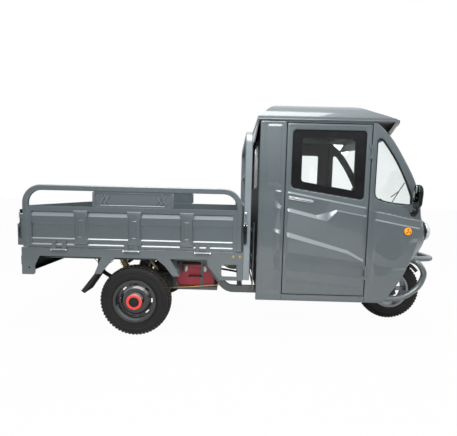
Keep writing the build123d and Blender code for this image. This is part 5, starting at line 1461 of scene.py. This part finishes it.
class CARGO_OT_wheel_trim(Operator):
    """Make the wheels' nuts, caps, valves and rim beads"""
    bl_idname = "cargo.wheel_trim"
    bl_label = "Wheel trim"

    def execute(self, context):
        nuts = context.scene.cargo_wheels.nuts
        for side, way in SIDES:
            body = f"rear_wheel_{side}"
            centre = spot(0, way * REAR_TRACK / 2, TYRE_R)
            axis = Y * way
            form = Form()
            form.turned([(0, 0.0735), (0.02, 0.0732), (0.0335, 0.0722), (0.0372, 0.0705),
                         (0.0385, 0.068)], centre, axis, 48, 0)
            for radius, reach in ((0.16, 0.0475), (0.15, 0.04), (0.118, 0.018)):
                form.tube(ring_of(centre + axis * reach, radius), 0.0026, 8, 1, closed=True)
            valve = centre + Vector((cos(1.9), 0, sin(1.9))) * 0.128
            for start, end, radius, colour in ((0.012, 0.034, 0.0042, 1),
                                               (0.034, 0.044, 0.0032, 0)):
                form.tube([valve + axis * start, valve + axis * end], radius, 12, colour)
            form.made(f"rear_hub_trim_{side}", body, "black_plastic", "rim_black", slot="rim_black")
            ways = [Vector((cos(angle), 0, sin(angle)))
                    for angle in (2 * pi * step / nuts + 0.5 for step in range(nuts))]
            repeated(f"wheel_nuts_{side}", body, "zinc",
                     [(centre + out * 0.079 + axis * 0.014, axis, out) for out in ways],
                     hex_bolt(0.017), slot="chrome")
        centre = spot(WHEELBASE, 0, TYRE_R)
        form = Form()
        for way in (1, -1):
            for radius, reach in ((0.16, 0.0475), (0.149, 0.042)):
                form.tube(ring_of(centre + Y * way * reach, radius), 0.0024, 8, 0, closed=True)
        form.made("front_rim_beads", "front_wheel", "spoke_silver", slot="rim_grey")
        return {"FINISHED"}


# -------------------- roof, nose, lamps, bumper
class CARGO_PG_front(PropertyGroup):
    """Sizes of the lamps, mirrors and bumper."""

    lamp: FloatProperty(name="Headlamp", description="Radius of a headlamp's bezel",
                        default=0.089, min=0.05, unit="LENGTH")
    bumper: FloatProperty(name="Bumper tube", description="Radius of the bumper's tubes",
                          default=0.0225, min=0.012, unit="LENGTH")
    vents: IntProperty(name="Grille slats", description="Slats in the nose grille",
                       default=6, min=2, max=12)


class CARGO_OT_headlamps(Operator):
    """Make the headlamps: bezel, reflector bowl, bulb and domed lens"""
    bl_idname = "cargo.headlamps"
    bl_label = "Headlamps"

    def execute(self, context):
        radius = context.scene.cargo_front.lamp
        low, high = [Vector(corner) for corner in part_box("headlamp_lenses")]
        tip, height = high.x - REAR_AXLE_X, (low.z + high.z) / 2
        bezels, bowls, lenses = Form(), Form(), Form()
        for _, way in SIDES:
            foot = spot(tip, way * 0.3, height)
            bezels.turned([(radius - 0.01, -0.084), (radius, -0.082), (radius, -0.063),
                           (radius - 0.0025, -0.057), (radius - 0.004, -0.055),
                           (radius - 0.006, -0.056), (radius - 0.007, -0.062),
                           (radius - 0.0105, -0.08)], foot, X, 72, 0, closed=True)
            rim = ring_of(foot - X * 0.058, radius - 0.0012, Y, Z, 72)
            bezels.tube(rim, 0.0028, 8, 1, closed=True)
            bowls.turned([(radius - 0.0115, -0.061), (radius - 0.014, -0.063), (0.06, -0.067),
                          (0.04, -0.071), (0.02, -0.076), (0, -0.077)], foot, X, 56, 0)
            bowls.turned([(0, -0.048), (0.007, -0.05), (0.0095, -0.056), (0.0095, -0.074)],
                         foot, X, 24, 1)
            for flute in zip(ring_of(foot - X * 0.0735, 0.026, Y, Z, 10),
                             ring_of(foot - X * 0.052, 0.07, Y, Z, 10)):
                bowls.tube(flute, 0.0012, 6, 0)
            dome = [(radius - 0.008, -0.06), (radius - 0.008, -0.054), (radius - 0.0095, -0.045),
                    (radius - 0.0135, -0.035), (0.069, -0.024), (0.056, -0.0145),
                    (0.038, -0.0062), (0.018, -0.0014), (0, 0)]
            inner = [(max(0, r - 0.0012), reach - 0.0028) for r, reach in reversed(dome)]
            lenses.turned(dome + inner[:-1] + [(radius - 0.0105, -0.06)], foot, X, 72, 0)
        bezels.made("lamp_bezels", "chassis", "gloss_black", "chrome", slot="black_plastic",
                    stands_for="headlamp_bezels")
        bowls.made("lamp_bowls", "chassis", "reflector", "white_plastic", slot="chrome")
        lenses.made("lamp_lenses", "chassis", "lens_glass", angle=60.0, slot="lens",
                    stands_for="headlamp_lenses")
        return {"FINISHED"}


class CARGO_OT_side_signals(Operator):
    """Make the amber side signals with their darker dots and black seats"""
    bl_idname = "cargo.side_signals"
    bl_label = "Side signals"

    def execute(self, context):
        for side, way in SIDES:
            foot = spot(2.058, way * 0.5335, 0.867)
            out = Y * way
            form = Form()
            form.turned([(0.0315, 0), (0.0315, 0.004), (0.0295, 0.006)], foot, out, 40, 2)
            form.turned([(0.0285, 0.002), (0.0285, 0.009), (0.0265, 0.0125), (0.02, 0.014),
                         (0, 0.0145)], foot, out, 40, 0)
            for index in range(3):
                angle = 2 * pi * index / 3 + 1.75
                middle = foot + Vector((cos(angle), 0, sin(angle))) * 0.0145
                form.turned([(0.0075, 0.0136), (0.0068, 0.015), (0, 0.0154)], middle, out, 20, 1)
            form.turned([(0.0045, 0.0143), (0.0035, 0.0158), (0, 0.016)], foot, out, 16, 1)
            form.made(f"side_signal_{side}", "chassis", "amber_plastic", "amber_dark",
                      "black_plastic", slot="amber",
                      stands_for="side_signals" if side == "right" else None)
        return {"FINISHED"}


class CARGO_OT_mirrors(Operator):
    """Make the mirrors: domed housings, glass, ball joints and arms"""
    bl_idname = "cargo.mirrors"
    bl_label = "Mirrors"

    def execute(self, context):
        outline = rounded([(-0.04, -0.086), (0.03, -0.086), (0.044, 0.04), (0.03, 0.088),
                           (-0.03, 0.088), (-0.044, 0.03)], 0.03, 8)
        for side, way in SIDES:
            form = Form()
            centre = spot(2.074, way * 0.614, 1.127)
            part = bmesh.new()
            layers = ((-0.0135, 0.93), (-0.0125, 1.0), (-0.002, 1.0), (0.008, 0.94), (0.015, 0.83),
                      (0.0195, 0.65), (0.0215, 0.4))
            rings = [[part.verts.new(centre + Vector((reach, way * across * share, up * share)))
                      for across, up in outline] for reach, share in layers]
            skinned(part, rings + [[part.verts.new(centre + X * 0.0218)]])
            part.faces.new(rings[0])
            form.take(part)
            glass = facing(centre - X * 0.0137, -X)
            form.plate([(y * 0.9 * -way, z * 0.9) for y, z in outline], 0.0016, glass, 0.0006, 1)
            arm = bent([spot(2.094, way * 0.535, 1.005), spot(2.094, way * 0.572, 1.006),
                        spot(2.09, way * 0.59, 1.022), spot(2.083, way * 0.597, 1.052)], 0.02, 5)
            form.tube(arm, 0.0095, 14, 0)
            form.turned([(0.027, -0.002), (0.027, 0.006), (0.022, 0.011), (0.013, 0.015),
                         (0, 0.016)], spot(2.094, way * 0.531, 1.005), Y * way, 32, 0)
            form.turned([(0, -0.013), (0.008, -0.011), (0.0135, 0), (0.008, 0.011),
                         (0, 0.013)], spot(2.083, way * 0.596, 1.046), Z, 24, 0)
            form.made(f"mirror_{side}", "chassis", "gloss_black", "mirror_glass", angle=40.0,
                      slot="black_plastic", stands_for="mirrors" if side == "right" else None)
        return {"FINISHED"}


class CARGO_OT_bumper(Operator):
    """Bend the bumper's tubes and weld their flanges"""
    bl_idname = "cargo.bumper"
    bl_label = "Bumper"

    def execute(self, context):
        radius = context.scene.cargo_front.bumper
        tip = Vector(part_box("bumper")[1]).x - REAR_AXLE_X - radius
        form = Form()
        half = [(2.205, 0.285), (2.3, 0.29), (tip - 0.006, 0.262), (tip, 0.15)]
        top = [(x, -y) for x, y in half] + half[::-1]
        form.tube(bent([spot(x, y, 0.612) for x, y in top], 0.07, 8), radius, 20)
        for way in (1, -1):
            hoop = [(2.225, 0.285, 0.606), (2.275, 0.338, 0.588), (2.3235, 0.352, 0.508),
                    (2.285, 0.35, 0.392), (2.165, 0.352, 0.3), (2.03, 0.371, 0.286),
                    (1.892, 0.388, 0.3)]
            path = bent([spot(x, way * y, z) for x, y, z in hoop], 0.09, 9)
            form.tube(path, radius, 20)
            form.block(spot(2.196, way * 0.285, 0.612), (0.008, 0.062, 0.062), 0.003)
            bead = ring_of(spot(2.202, way * 0.285, 0.612), radius + 0.001, Y, Z, 24)
            form.tube(bead, 0.0028, 8, 0, closed=True)
        form.made("bumper_tubes", "chassis", "bumper_paint", slot="paint", stands_for="bumper")
        return {"FINISHED"}


def divided(points, count):
    """Points along straight runs in a plane, each run cut in equal parts."""
    out = []
    for (x0, y0), (x1, y1) in zip(points, points[1:]):
        out += [(x0 + (x1 - x0) * step / count, y0 + (y1 - y0) * step / count)
                for step in range(count)]
    return out + [points[-1]]


class CARGO_OT_roof_pressing(Operator):
    """Press the roof's ribs, edge its visor and hang the drip channel"""
    bl_idname = "cargo.roof_pressing"
    bl_label = "Roof pressing"

    def execute(self, context):
        top = [(0.905, 1.69), (0.935, 1.713), (0.97, 1.746), (1.01, 1.781), (1.06, 1.808),
               (1.23, 1.83), (1.454, 1.838), (1.58, 1.826), (1.68, 1.79), (1.76, 1.752),
               (1.85, 1.722), (1.962, 1.682)]
        crown = np.array(smooth_edge(top, 5))
        ends = [(0, 1.841), (0.3, 1.826), (0.442, 1.793), (0.502, 1.752), (0.534, 1.7),
                (0.546, 1.694)]
        bevel = np.array(smooth_edge(ends, 5))

        def bow(y):
            return 0.088 * (1 - (abs(y) / 0.5) ** 2.9)

        def top_z(x, y):
            back = x
            for _ in range(4):
                back = x - bow(y) * max(0, (back - 1.56) / 0.402)
            return float(min(np.interp(back, *crown.T), np.interp(abs(y), *bevel.T)))

        form = Form()
        for way in (1, -1):
            for points, wide in ((((1.34, 0.03), (1.6, 0.22), (1.86, 0.36)), 0.014),
                                 (((1.46, 0), (1.72, 0.16), (1.93, 0.27)), 0.01),
                                 (((1.1, 0.1), (1.1, 0.4)), 0.01),
                                 (((1.17, 0.1), (1.17, 0.4)), 0.01)):
                path = [spot(x, way * y, top_z(x, y) - 0.0015) for x, y in divided(points, 16)]
                form.tube(path, [wide * 0.3, wide * 0.7] + [wide] * (len(path) - 4)
                          + [wide * 0.7, wide * 0.3], 12, 0, flat=0.26, squeezed=(0, 0, 1))
        for x, z, radius in ((1.9615, 1.6815, 0.0048), (1.8955, 1.5905, 0.0055)):
            edge = [spot(x + bow(y), y, z) for y in np.linspace(-0.535, 0.535, 41)]
            form.tube(edge, radius, 10, 0)
        for way in (1, -1):
            gutter = [spot(0.905, way * 0.5455, 1.6725), spot(1.912, way * 0.5455, 1.6725)]
            form.tube(gutter, 0.0045, 10, 0)
        form.made("roof_ribs", "chassis", "body_paint", angle=40.0, slot="paint")
        return {"FINISHED"}


class CARGO_OT_nose_trim(Operator):
    """Set the nose's grille with its surround and creases, and the wheel arch's rubber lip"""
    bl_idname = "cargo.nose_trim"
    bl_label = "Nose trim"

    def execute(self, context):
        # The nose from the bottom up: height, reach ahead at its edges, and swell in the middle.
        rows = [(0.34, 1.93, 0.036), (0.405, 1.973, 0.052), (0.524, 2.042, 0.098),
                (0.62, 2.086, 0.145), (0.7, 2.113, 0.172), (0.79, 2.137, 0.183),
                (0.865, 2.146, 0.168), (0.945, 2.149, 0.132), (1.03, 2.147, 0.1)]
        heights, bases, swells = zip(*rows)

        def front(y, z, gap):
            base, swell = float(np.interp(z, heights, bases)), float(np.interp(z, heights, swells))
            return spot(base + 1.25 * (1 - (abs(y) / 0.504) ** 3.5) * swell + gap, y, z)

        form = Form()
        count = context.scene.cargo_front.vents
        for index in range(count):
            z = 0.7 + 0.032 * index
            half = 0.15 - 0.01 * index
            path = [front(-half + 2 * half * s / 14, z, 0.002) for s in range(15)]
            form.tube(path, 0.0075, 10, 0, flat=0.6)
        corners = [(-0.178, 0.678), (0.178, 0.678), (0.122, 0.882), (-0.122, 0.882)]
        surround = [front(y, z, 0.001) for y, z in spread(rounded(corners, 0.03), 0.02)]
        form.tube(surround, 0.006, 10, 1, closed=True)
        for way in (1, -1):
            crease = [front(way * y, z, 0.0005) for y, z in
                      ((0.13, 1.02), (0.2, 0.955), (0.33, 0.922), (0.46, 0.93))]
            form.tube(bent(crease, 0.05, 5), 0.006, 10, 1, flat=0.7)
        form.made("nose_grille", "chassis", "gloss_black", "body_paint", slot="black_plastic")

        form = Form()
        arch = [(-0.318, 0.345), (-0.318, 0.6), (-0.273, 0.645), (0.273, 0.645), (0.318, 0.6),
                (0.318, 0.345)]
        form.tube([front(y, z, -0.004) for y, z in divided(arch, 10)], 0.006, 10, 0)
        form.made("arch_lip", "chassis", "seal_rubber", slot="rubber")
        return {"FINISHED"}


# -------------------- seat, dashboard, handlebar
class CARGO_PG_inside(PropertyGroup):
    """Sizes of the seat's padding and of the controls."""

    crown: FloatProperty(name="Cushion crown", description="How far the padding swells",
                         default=0.014, min=0, max=0.03, unit="LENGTH")
    channel: FloatProperty(name="Channel", description="Depth of the stitched channels",
                           default=0.009, min=0, max=0.02, unit="LENGTH")
    grip: FloatProperty(name="Grip", description="Radius of a handlebar grip",
                        default=0.017, min=0.012, unit="LENGTH")


def pad(low, high, crown, channel, lines, round_edge):
    """Padded block as a bmesh: swollen faces, stitched channels along X at the given Y's.

    low and high are its corners; the swell falls to nothing at the edges, and each
    channel pinches the face in over about a finger's width.
    """
    part = bmesh.new()
    low, high = Vector(low), Vector(high)
    size = high - low
    bmesh.ops.create_cube(part, size=1.0)
    for vertex in part.verts:
        vertex.co = low + Vector((vertex.co[i] + 0.5) * size[i] for i in range(3))
    bevelled(part, part.edges, round_edge, 4, 0.6)
    for axis in range(3):
        count = max(2, int(size[axis] / 0.013))
        for step in range(1, count):
            place = low.copy()
            place[axis] += size[axis] * step / count
            bmesh.ops.bisect_plane(part, geom=[*part.verts, *part.edges, *part.faces],
                                   plane_co=place, plane_no=(X, Y, Z)[axis])
    bmesh.ops.recalc_face_normals(part, faces=list(part.faces))
    part.normal_update()
    thin = min(range(3), key=lambda i: size[i])
    wide = [i for i in range(3) if i != thin]
    moves = []
    for vertex in part.verts:
        share = [(vertex.co[i] - low[i]) / size[i] for i in range(3)]
        swell = 1.0
        for i in wide:
            swell *= max(0, 1 - abs(2 * share[i] - 1) ** 3.2)
        out = abs(vertex.normal[thin])
        pinch = sum(exp(-((vertex.co.y - line) / 0.0085) ** 2) for line in lines)
        reach = out * (crown * swell - channel * min(1.0, pinch))
        wrinkle = noise.noise(vertex.co * 14.0) * 0.0016 + noise.noise(vertex.co * 37.0) * 0.0006
        moves.append((vertex, vertex.normal * (reach + wrinkle * out * swell)))
    for vertex, move in moves:
        vertex.co += move
    return part


class CARGO_OT_seat(Operator):
    """Pad the driver's seat: a cushion and a back with stitched channels and piping"""
    bl_idname = "cargo.seat"
    bl_label = "Seat"

    def execute(self, context):
        sizes = context.scene.cargo_inside
        edge = 0.02
        lines = [-0.29, -0.145, 0, 0.145, 0.29]
        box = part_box("seat_pads")
        back_to = at(1.041)
        for name, low, high in (
            ("seat_cushion", (back_to - 0.004, box[0][1] + 0.006, box[0][2] + 0.004),
             (box[1][0] - 0.012, box[1][1] - 0.006, 0.745 - sizes.crown)),
            ("seat_back", (box[0][0] + 0.002, box[0][1] + 0.006, 0.752),
             (back_to - sizes.crown, box[1][1] - 0.006, box[1][2] - 0.006)),
        ):
            form = Form()
            form.take(pad(low, high, sizes.crown, sizes.channel, lines, edge), turn_out=False)
            inset = Vector((1, 1, 1)) * edge * 0.35
            (x0, y0, z0), (x1, y1, z1) = Vector(low) + inset, Vector(high) - inset
            if name == "seat_cushion":
                loop = spread(rounded(rectangle(x0, y0, x1, y1), 0.03), 0.02)
                piping = [[(x, y, z) for x, y in loop] for z in (z1, z0)]
            else:
                loop = spread(rounded(rectangle(y0, z0, y1, z1), 0.03), 0.02)
                piping = [[(x1, y, z) for y, z in loop]]
            for path in piping:
                form.tube(path, 0.0042, 8, 1, closed=True)
            piece = form.made(name, "chassis", "seat_cover", "seal_rubber", angle=60.0,
                              slot="vinyl",
                              stands_for="seat_pads" if name == "seat_cushion" else None)
        return {"FINISHED"}


class CARGO_OT_dashboard(Operator):
    """Set the dashboard's meter on its pod, its switches, cup holder and trays"""
    bl_idname = "cargo.dashboard"
    bl_label = "Dashboard"

    def execute(self, context):
        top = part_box("dashboard")[1][2]
        form = Form()
        turn = Matrix.Rotation(radians(-28.0), 3, "Y")
        middle = spot(2.026, 0, top + 0.046)
        form.block(middle, (0.1, 0.2, 0.05), 0.014, turn, 0, (0.92, 0.94), 4)
        screen = middle + turn @ Vector((-0.004, 0, 0.025))
        form.blocks((screen, (0.07, 0.16, 0.003), 0.0012, turn, 1),
                    (spot(2.038, 0, top + 0.01), (0.06, 0.15, 0.026), 0.006))
        for y in (0.33, -0.33):
            form.blocks((spot(1.97, y, top + 0.002), (0.11, 0.17, 0.008), 0.003),
                        (spot(1.97, y, top + 0.0055), (0.09, 0.14, 0.003), 0.0012, None, 2))
        for y in (-0.165 - 0.026 * index for index in range(4)):
            form.blocks((spot(1.8275, y, top + 0.004), (0.022, 0.018, 0.012), 0.003),
                        (spot(1.8275, y, top + 0.0095), (0.014, 0.012, 0.003), 0.001, None, 1))
        form.turned([(0.038, 0), (0.038, 0.026), (0.035, 0.029), (0.032, 0.026), (0.031, 0.004),
                     (0, 0.004)], spot(1.86, 0.235, top), Z, 36, 0)
        form.made("dashboard_meter", "chassis", "black_plastic", "gloss_black", "grey_lining",
                  angle=40.0, slot="black_plastic")
        return {"FINISHED"}


class CARGO_OT_controls(Operator):
    """Fit the handlebar's grips, levers, switch boxes and cables"""
    bl_idname = "cargo.controls"
    bl_label = "Controls"

    def execute(self, context):
        up = Vector((-sin(RAKE), 0, cos(RAKE)))
        ahead = Vector((cos(RAKE), 0, sin(RAKE)))

        def on_column(height):
            return spot(2.27 - height * tan(RAKE), 0, height)

        clamp = on_column(1.06) + up * 0.017
        body = body_of(frame["nodes"]["handlebar"])[0]
        radius = context.scene.cargo_inside.grip
        for side, way in SIDES:
            end = clamp - ahead * 0.096 + up * 0.026 + Y * way * 0.32
            knee = clamp - ahead * 0.0384 + up * 0.026 + Y * way * 0.2
            inward = (knee - end).normalized()
            outward = -inward
            form = Form()
            profile = [(0, 0.0095), (radius * 0.92, 0.009), (radius + 0.0035, 0.0065),
                       (radius + 0.0035, 0.0025)]
            reach = 0.0
            while reach > -0.106:
                profile += [(radius + 0.0012, reach), (radius + 0.0012, reach - 0.0028),
                            (radius - 0.0003, reach - 0.0034), (radius - 0.0003, reach - 0.005)]
                reach -= 0.0056
            profile += [(radius + 0.006, -0.112), (radius + 0.006, -0.116), (0.011, -0.118)]
            form.turned(profile, end, outward, 36, 0)
            box = end + inward * 0.14
            turn = facing(box, ahead, up).to_3x3()
            form.block(box, (0.04, 0.04, 0.034), 0.007, turn, 1, steps=3)
            for z, colour in ((0.009, 2), (-0.005, 1)):
                button = box + turn @ Vector((0, z, -0.019))
                form.block(button, (0.02, 0.008, 0.005), 0.0015, turn, colour)
            pivot = end + inward * 0.122 + ahead * 0.02
            lever = bent([pivot, pivot + outward * 0.03 + ahead * 0.026,
                          pivot + outward * 0.11 + ahead * 0.02], 0.02, 5)
            form.tube(lever, [0.0062] * (len(lever) - 1) + [0.0072], 12, 3, flat=0.55)
            form.block(pivot, (0.026, 0.018, 0.018), 0.004, turn, 3)
            column = on_column(0.93) + ahead * 0.03
            cable = bent([pivot + inward * 0.008 + ahead * 0.006, pivot + ahead * 0.03 - up * 0.004,
                          column + Y * way * 0.055 + up * 0.05,
                          column + Y * way * 0.022 - up * 0.01], 0.05, 8)
            form.tube(cable, 0.0032, 8, 1)
            form.made(f"controls_{side}", body, "grip_rubber", "black_plastic", "lamp_red", "zinc",
                      angle=40.0, slot="rubber")
        return {"FINISHED"}


class CARGO_OT_lining(Operator):
    """Line the cab: floor mat, brake pedal, door pockets, arm rests and pulls"""
    bl_idname = "cargo.lining"
    bl_label = "Cab lining"

    def execute(self, context):
        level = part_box("seat_base")[0][2]
        form = Form()
        mat = rounded(rectangle(at(1.375), -0.44, at(1.85), 0.44), 0.03)
        form.plate(mat, 0.004, Matrix.Translation((0, 0, level + 0.0002)), 0.001)
        for index in range(17):
            form.block(spot(1.395 + 0.027 * index, 0, level + 0.0048), (0.006, 0.84, 0.003), 0.0012,
                       steps=1)
        form.blocks((spot(1.76, -0.25, level + 0.03), (0.085, 0.06, 0.01), 0.003,
                     Matrix.Rotation(radians(-32.0), 3, "Y"), 1),
                    (spot(1.79, -0.25, level + 0.014), (0.016, 0.02, 0.03), 0.003, None, 1))
        form.made("floor_mat", "chassis", "flap_rubber", "bare_steel", slot="rubber")

        for side, way in SIDES:
            form = Form()
            y = way * 0.5065
            form.blocks((spot(1.45, y - way * 0.012, 0.56), (0.42, 0.024, 0.12), 0.008, None, 0,
                         (0.97, 1.0), 3),
                        (spot(1.45, y - way * 0.008, 0.985), (0.5, 0.016, 0.04), 0.006, None, 0,
                         (1.0, 1.0), 3))
            pull = [spot(x, y - way * inwards, z) for x, inwards, z in
                    ((1.2, 0.004, 1.02), (1.2, 0.03, 1.02), (1.29, 0.03, 1.012),
                     (1.29, 0.004, 1.012))]
            form.tube(bent(pull, 0.012, 4), 0.006, 10, 1)
            form.made(f"door_lining_{side}", f"door_{side}", "black_plastic", "zinc",
                      slot="black_plastic")
        return {"FINISHED"}


# -------------------- underbody, rack and wall details
class CARGO_PG_under(PropertyGroup):
    """Sizes of the small parts under the bed and on the cab's back."""

    wire: FloatProperty(name="Wiring", description="Radius of the wiring's sleeve",
                        default=0.0065, min=0.003, unit="LENGTH")
    coil: FloatProperty(name="Coil", description="Radius of the shock absorbers' spring wire",
                        default=0.0042, min=0.002, unit="LENGTH")
    turns: IntProperty(name="Coil turns", description="Turns in each spring",
                       default=9, min=4, max=16)


class CARGO_OT_springs(Operator):
    """Wind the shock absorbers' coils between their cups and eyes"""
    bl_idname = "cargo.springs"
    bl_label = "Springs"

    def execute(self, context):
        sizes = context.scene.cargo_under
        for side, way in SIDES:
            foot, head = spot(-0.052, way * 0.326, 0.345), spot(-0.176, way * 0.326, 0.562)
            along = (head - foot).normalized()
            two = along.cross(Y)
            length = (head - foot).length
            start, end = 0.22, 0.86
            coil = []
            steps = sizes.turns * 20
            for step in range(steps + 1):
                t = step / steps
                angle = 2 * pi * sizes.turns * t
                middle = foot + along * length * (start + (end - start) * t)
                coil.append(middle + (Y * cos(angle) + two * sin(angle)) * 0.0265)
            form = Form()
            form.tube(coil, sizes.coil, 8, 0)
            for share in (start - 0.015, end + 0.015):
                form.turned([(0, -0.003), (0.032, -0.003), (0.033, 0), (0.032, 0.003),
                             (0, 0.003)], foot + along * length * share, along, 32, 1)
            for place in (foot, head):
                form.turned([(0, -0.03), (0.0105, -0.03), (0.0105, 0.03), (0, 0.03)],
                            place, Y, 6, 1)
            form.made(f"shock_coil_{side}", "chassis", "yellow_zinc", "zinc", slot="brass")
        return {"FINISHED"}


class CARGO_OT_battery_trim(Operator):
    """Clip the battery box's lid, edge it, fit its grips and run the wiring along the chassis"""
    bl_idname = "cargo.battery_trim"
    bl_label = "Battery and wiring"

    def execute(self, context):
        low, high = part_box("battery_box")
        form = Form()
        lid_z = high[2] - 0.03
        loop = rectangle(low[0] - 0.0015, low[1] - 0.0015, high[0] + 0.0015, high[1] + 0.0015)
        loop = spread(rounded(loop, 0.012), 0.02)
        form.tube([(x, y, lid_z) for x, y in loop], 0.004, 8, 0, closed=True)
        middle = (low[0] + high[0]) / 2
        for y, way in ((low[1], -1), (high[1], 1)):
            for share in (0.25, 0.75):
                x = low[0] + (high[0] - low[0]) * share
                for out, down, size in ((0.003, 0, (0.03, 0.007, 0.034)),
                                        (0.008, 0.004, (0.018, 0.006, 0.046))):
                    form.block((x, y + way * out, lid_z - down), size, 0.002, None, 1)
            grip = [(middle + along, y + way * out, lid_z - down) for along, out, down in
                    ((-0.055, 0.002, 0.075), (-0.05, 0.02, 0.062), (0.05, 0.02, 0.062),
                     (0.055, 0.002, 0.075))]
            form.tube(bent(grip, 0.012, 5), 0.0048, 10, 2)
        form.made("battery_trim", "chassis", "battery_red", "zinc", "black_plastic",
                  slot="battery_red")

        form = Form()
        radius = context.scene.cargo_under.wire
        loom = [spot(0.205, -0.2, 0.56), spot(0.3, -0.215, 0.535), spot(0.42, -0.22, 0.505),
                spot(0.64, -0.205, 0.468), spot(0.78, -0.225, 0.452), spot(0.87, -0.23, 0.43)]
        form.tube(bent(loom, 0.08, 8), radius, 10, 0)
        second = [point + Vector((0.004, 0.018, -0.012)) for point in loom]
        form.tube(bent(second, 0.06, 8), radius * 0.62, 8, 0)
        form.made("wiring", "chassis", "seal_rubber", slot="rubber")
        return {"FINISHED"}


class CARGO_OT_wall_trim(Operator):
    """Press the ribs of the cab's rear wall"""
    bl_idname = "cargo.wall_trim"
    bl_label = "Wall trim"

    def execute(self, context):
        form = Form()
        ribs = [((-0.43, z), (0.43, z), 0.01) for z in (0.42, 0.52, 0.62, 0.72, 0.82)]
        ribs += [((y, 0.36), (y, 0.9), 0.008) for y in (0.47, -0.47)]
        for start, end, radius in ribs:
            form.tube([spot(0.9046, *start), spot(0.9046, *end)], radius, 12, 0, flat=0.4)
        form.made("rear_wall_ribs", "chassis", "body_paint", angle=40.0, slot="paint")
        return {"FINISHED"}


# -------------------- panel and run
GROUPS = {
    "cargo_colours": CARGO_PG_colours, "cargo_light": CARGO_PG_light, "cargo_cab": CARGO_PG_cab,
    "cargo_bed": CARGO_PG_bed, "cargo_wheels": CARGO_PG_wheels, "cargo_front": CARGO_PG_front,
    "cargo_inside": CARGO_PG_inside, "cargo_under": CARGO_PG_under,
}
STEPS = (CARGO_OT_finishes, CARGO_OT_stage, CARGO_OT_cab_skins, CARGO_OT_cab_seals,
         CARGO_OT_door_handles, CARGO_OT_gate_fittings, CARGO_OT_bed_floor, CARGO_OT_rear_lamps,
         CARGO_OT_tyres, CARGO_OT_wheel_trim, CARGO_OT_headlamps, CARGO_OT_side_signals,
         CARGO_OT_mirrors, CARGO_OT_bumper, CARGO_OT_roof_pressing, CARGO_OT_nose_trim,
         CARGO_OT_seat, CARGO_OT_dashboard, CARGO_OT_controls, CARGO_OT_lining, CARGO_OT_springs,
         CARGO_OT_battery_trim, CARGO_OT_wall_trim)


class CARGO_PT_panel(Panel):
    """Lists the vehicle's settings and the steps that make its pieces"""
    bl_idname = "CARGO_PT_panel"
    bl_label = "Cargo tricycle"
    bl_space_type = "VIEW_3D"
    bl_region_type = "UI"
    bl_category = "Cargo tricycle"

    def draw(self, context):
        for label in GROUPS:
            group, box = getattr(context.scene, label), self.layout.box()
            for name in group.bl_rna.properties.keys():
                if name not in ("name", "rna_type"):
                    box.prop(group, name)
        for step in STEPS:
            self.layout.operator(step.bl_idname)


CLASSES = (*GROUPS.values(), *STEPS, CARGO_PT_panel)


def register():
    for each in CLASSES:
        bpy.utils.register_class(each)
    for label, group in GROUPS.items():
        setattr(bpy.types.Scene, label, PointerProperty(type=group))


def unregister():
    for label in GROUPS:
        delattr(bpy.types.Scene, label)
    for each in reversed(CLASSES):
        bpy.utils.unregister_class(each)


def main():
    register()
    for step in STEPS:
        group, name = step.bl_idname.split(".")
        getattr(getattr(bpy.ops, group), name)()


if __name__ == "__main__":
    main()
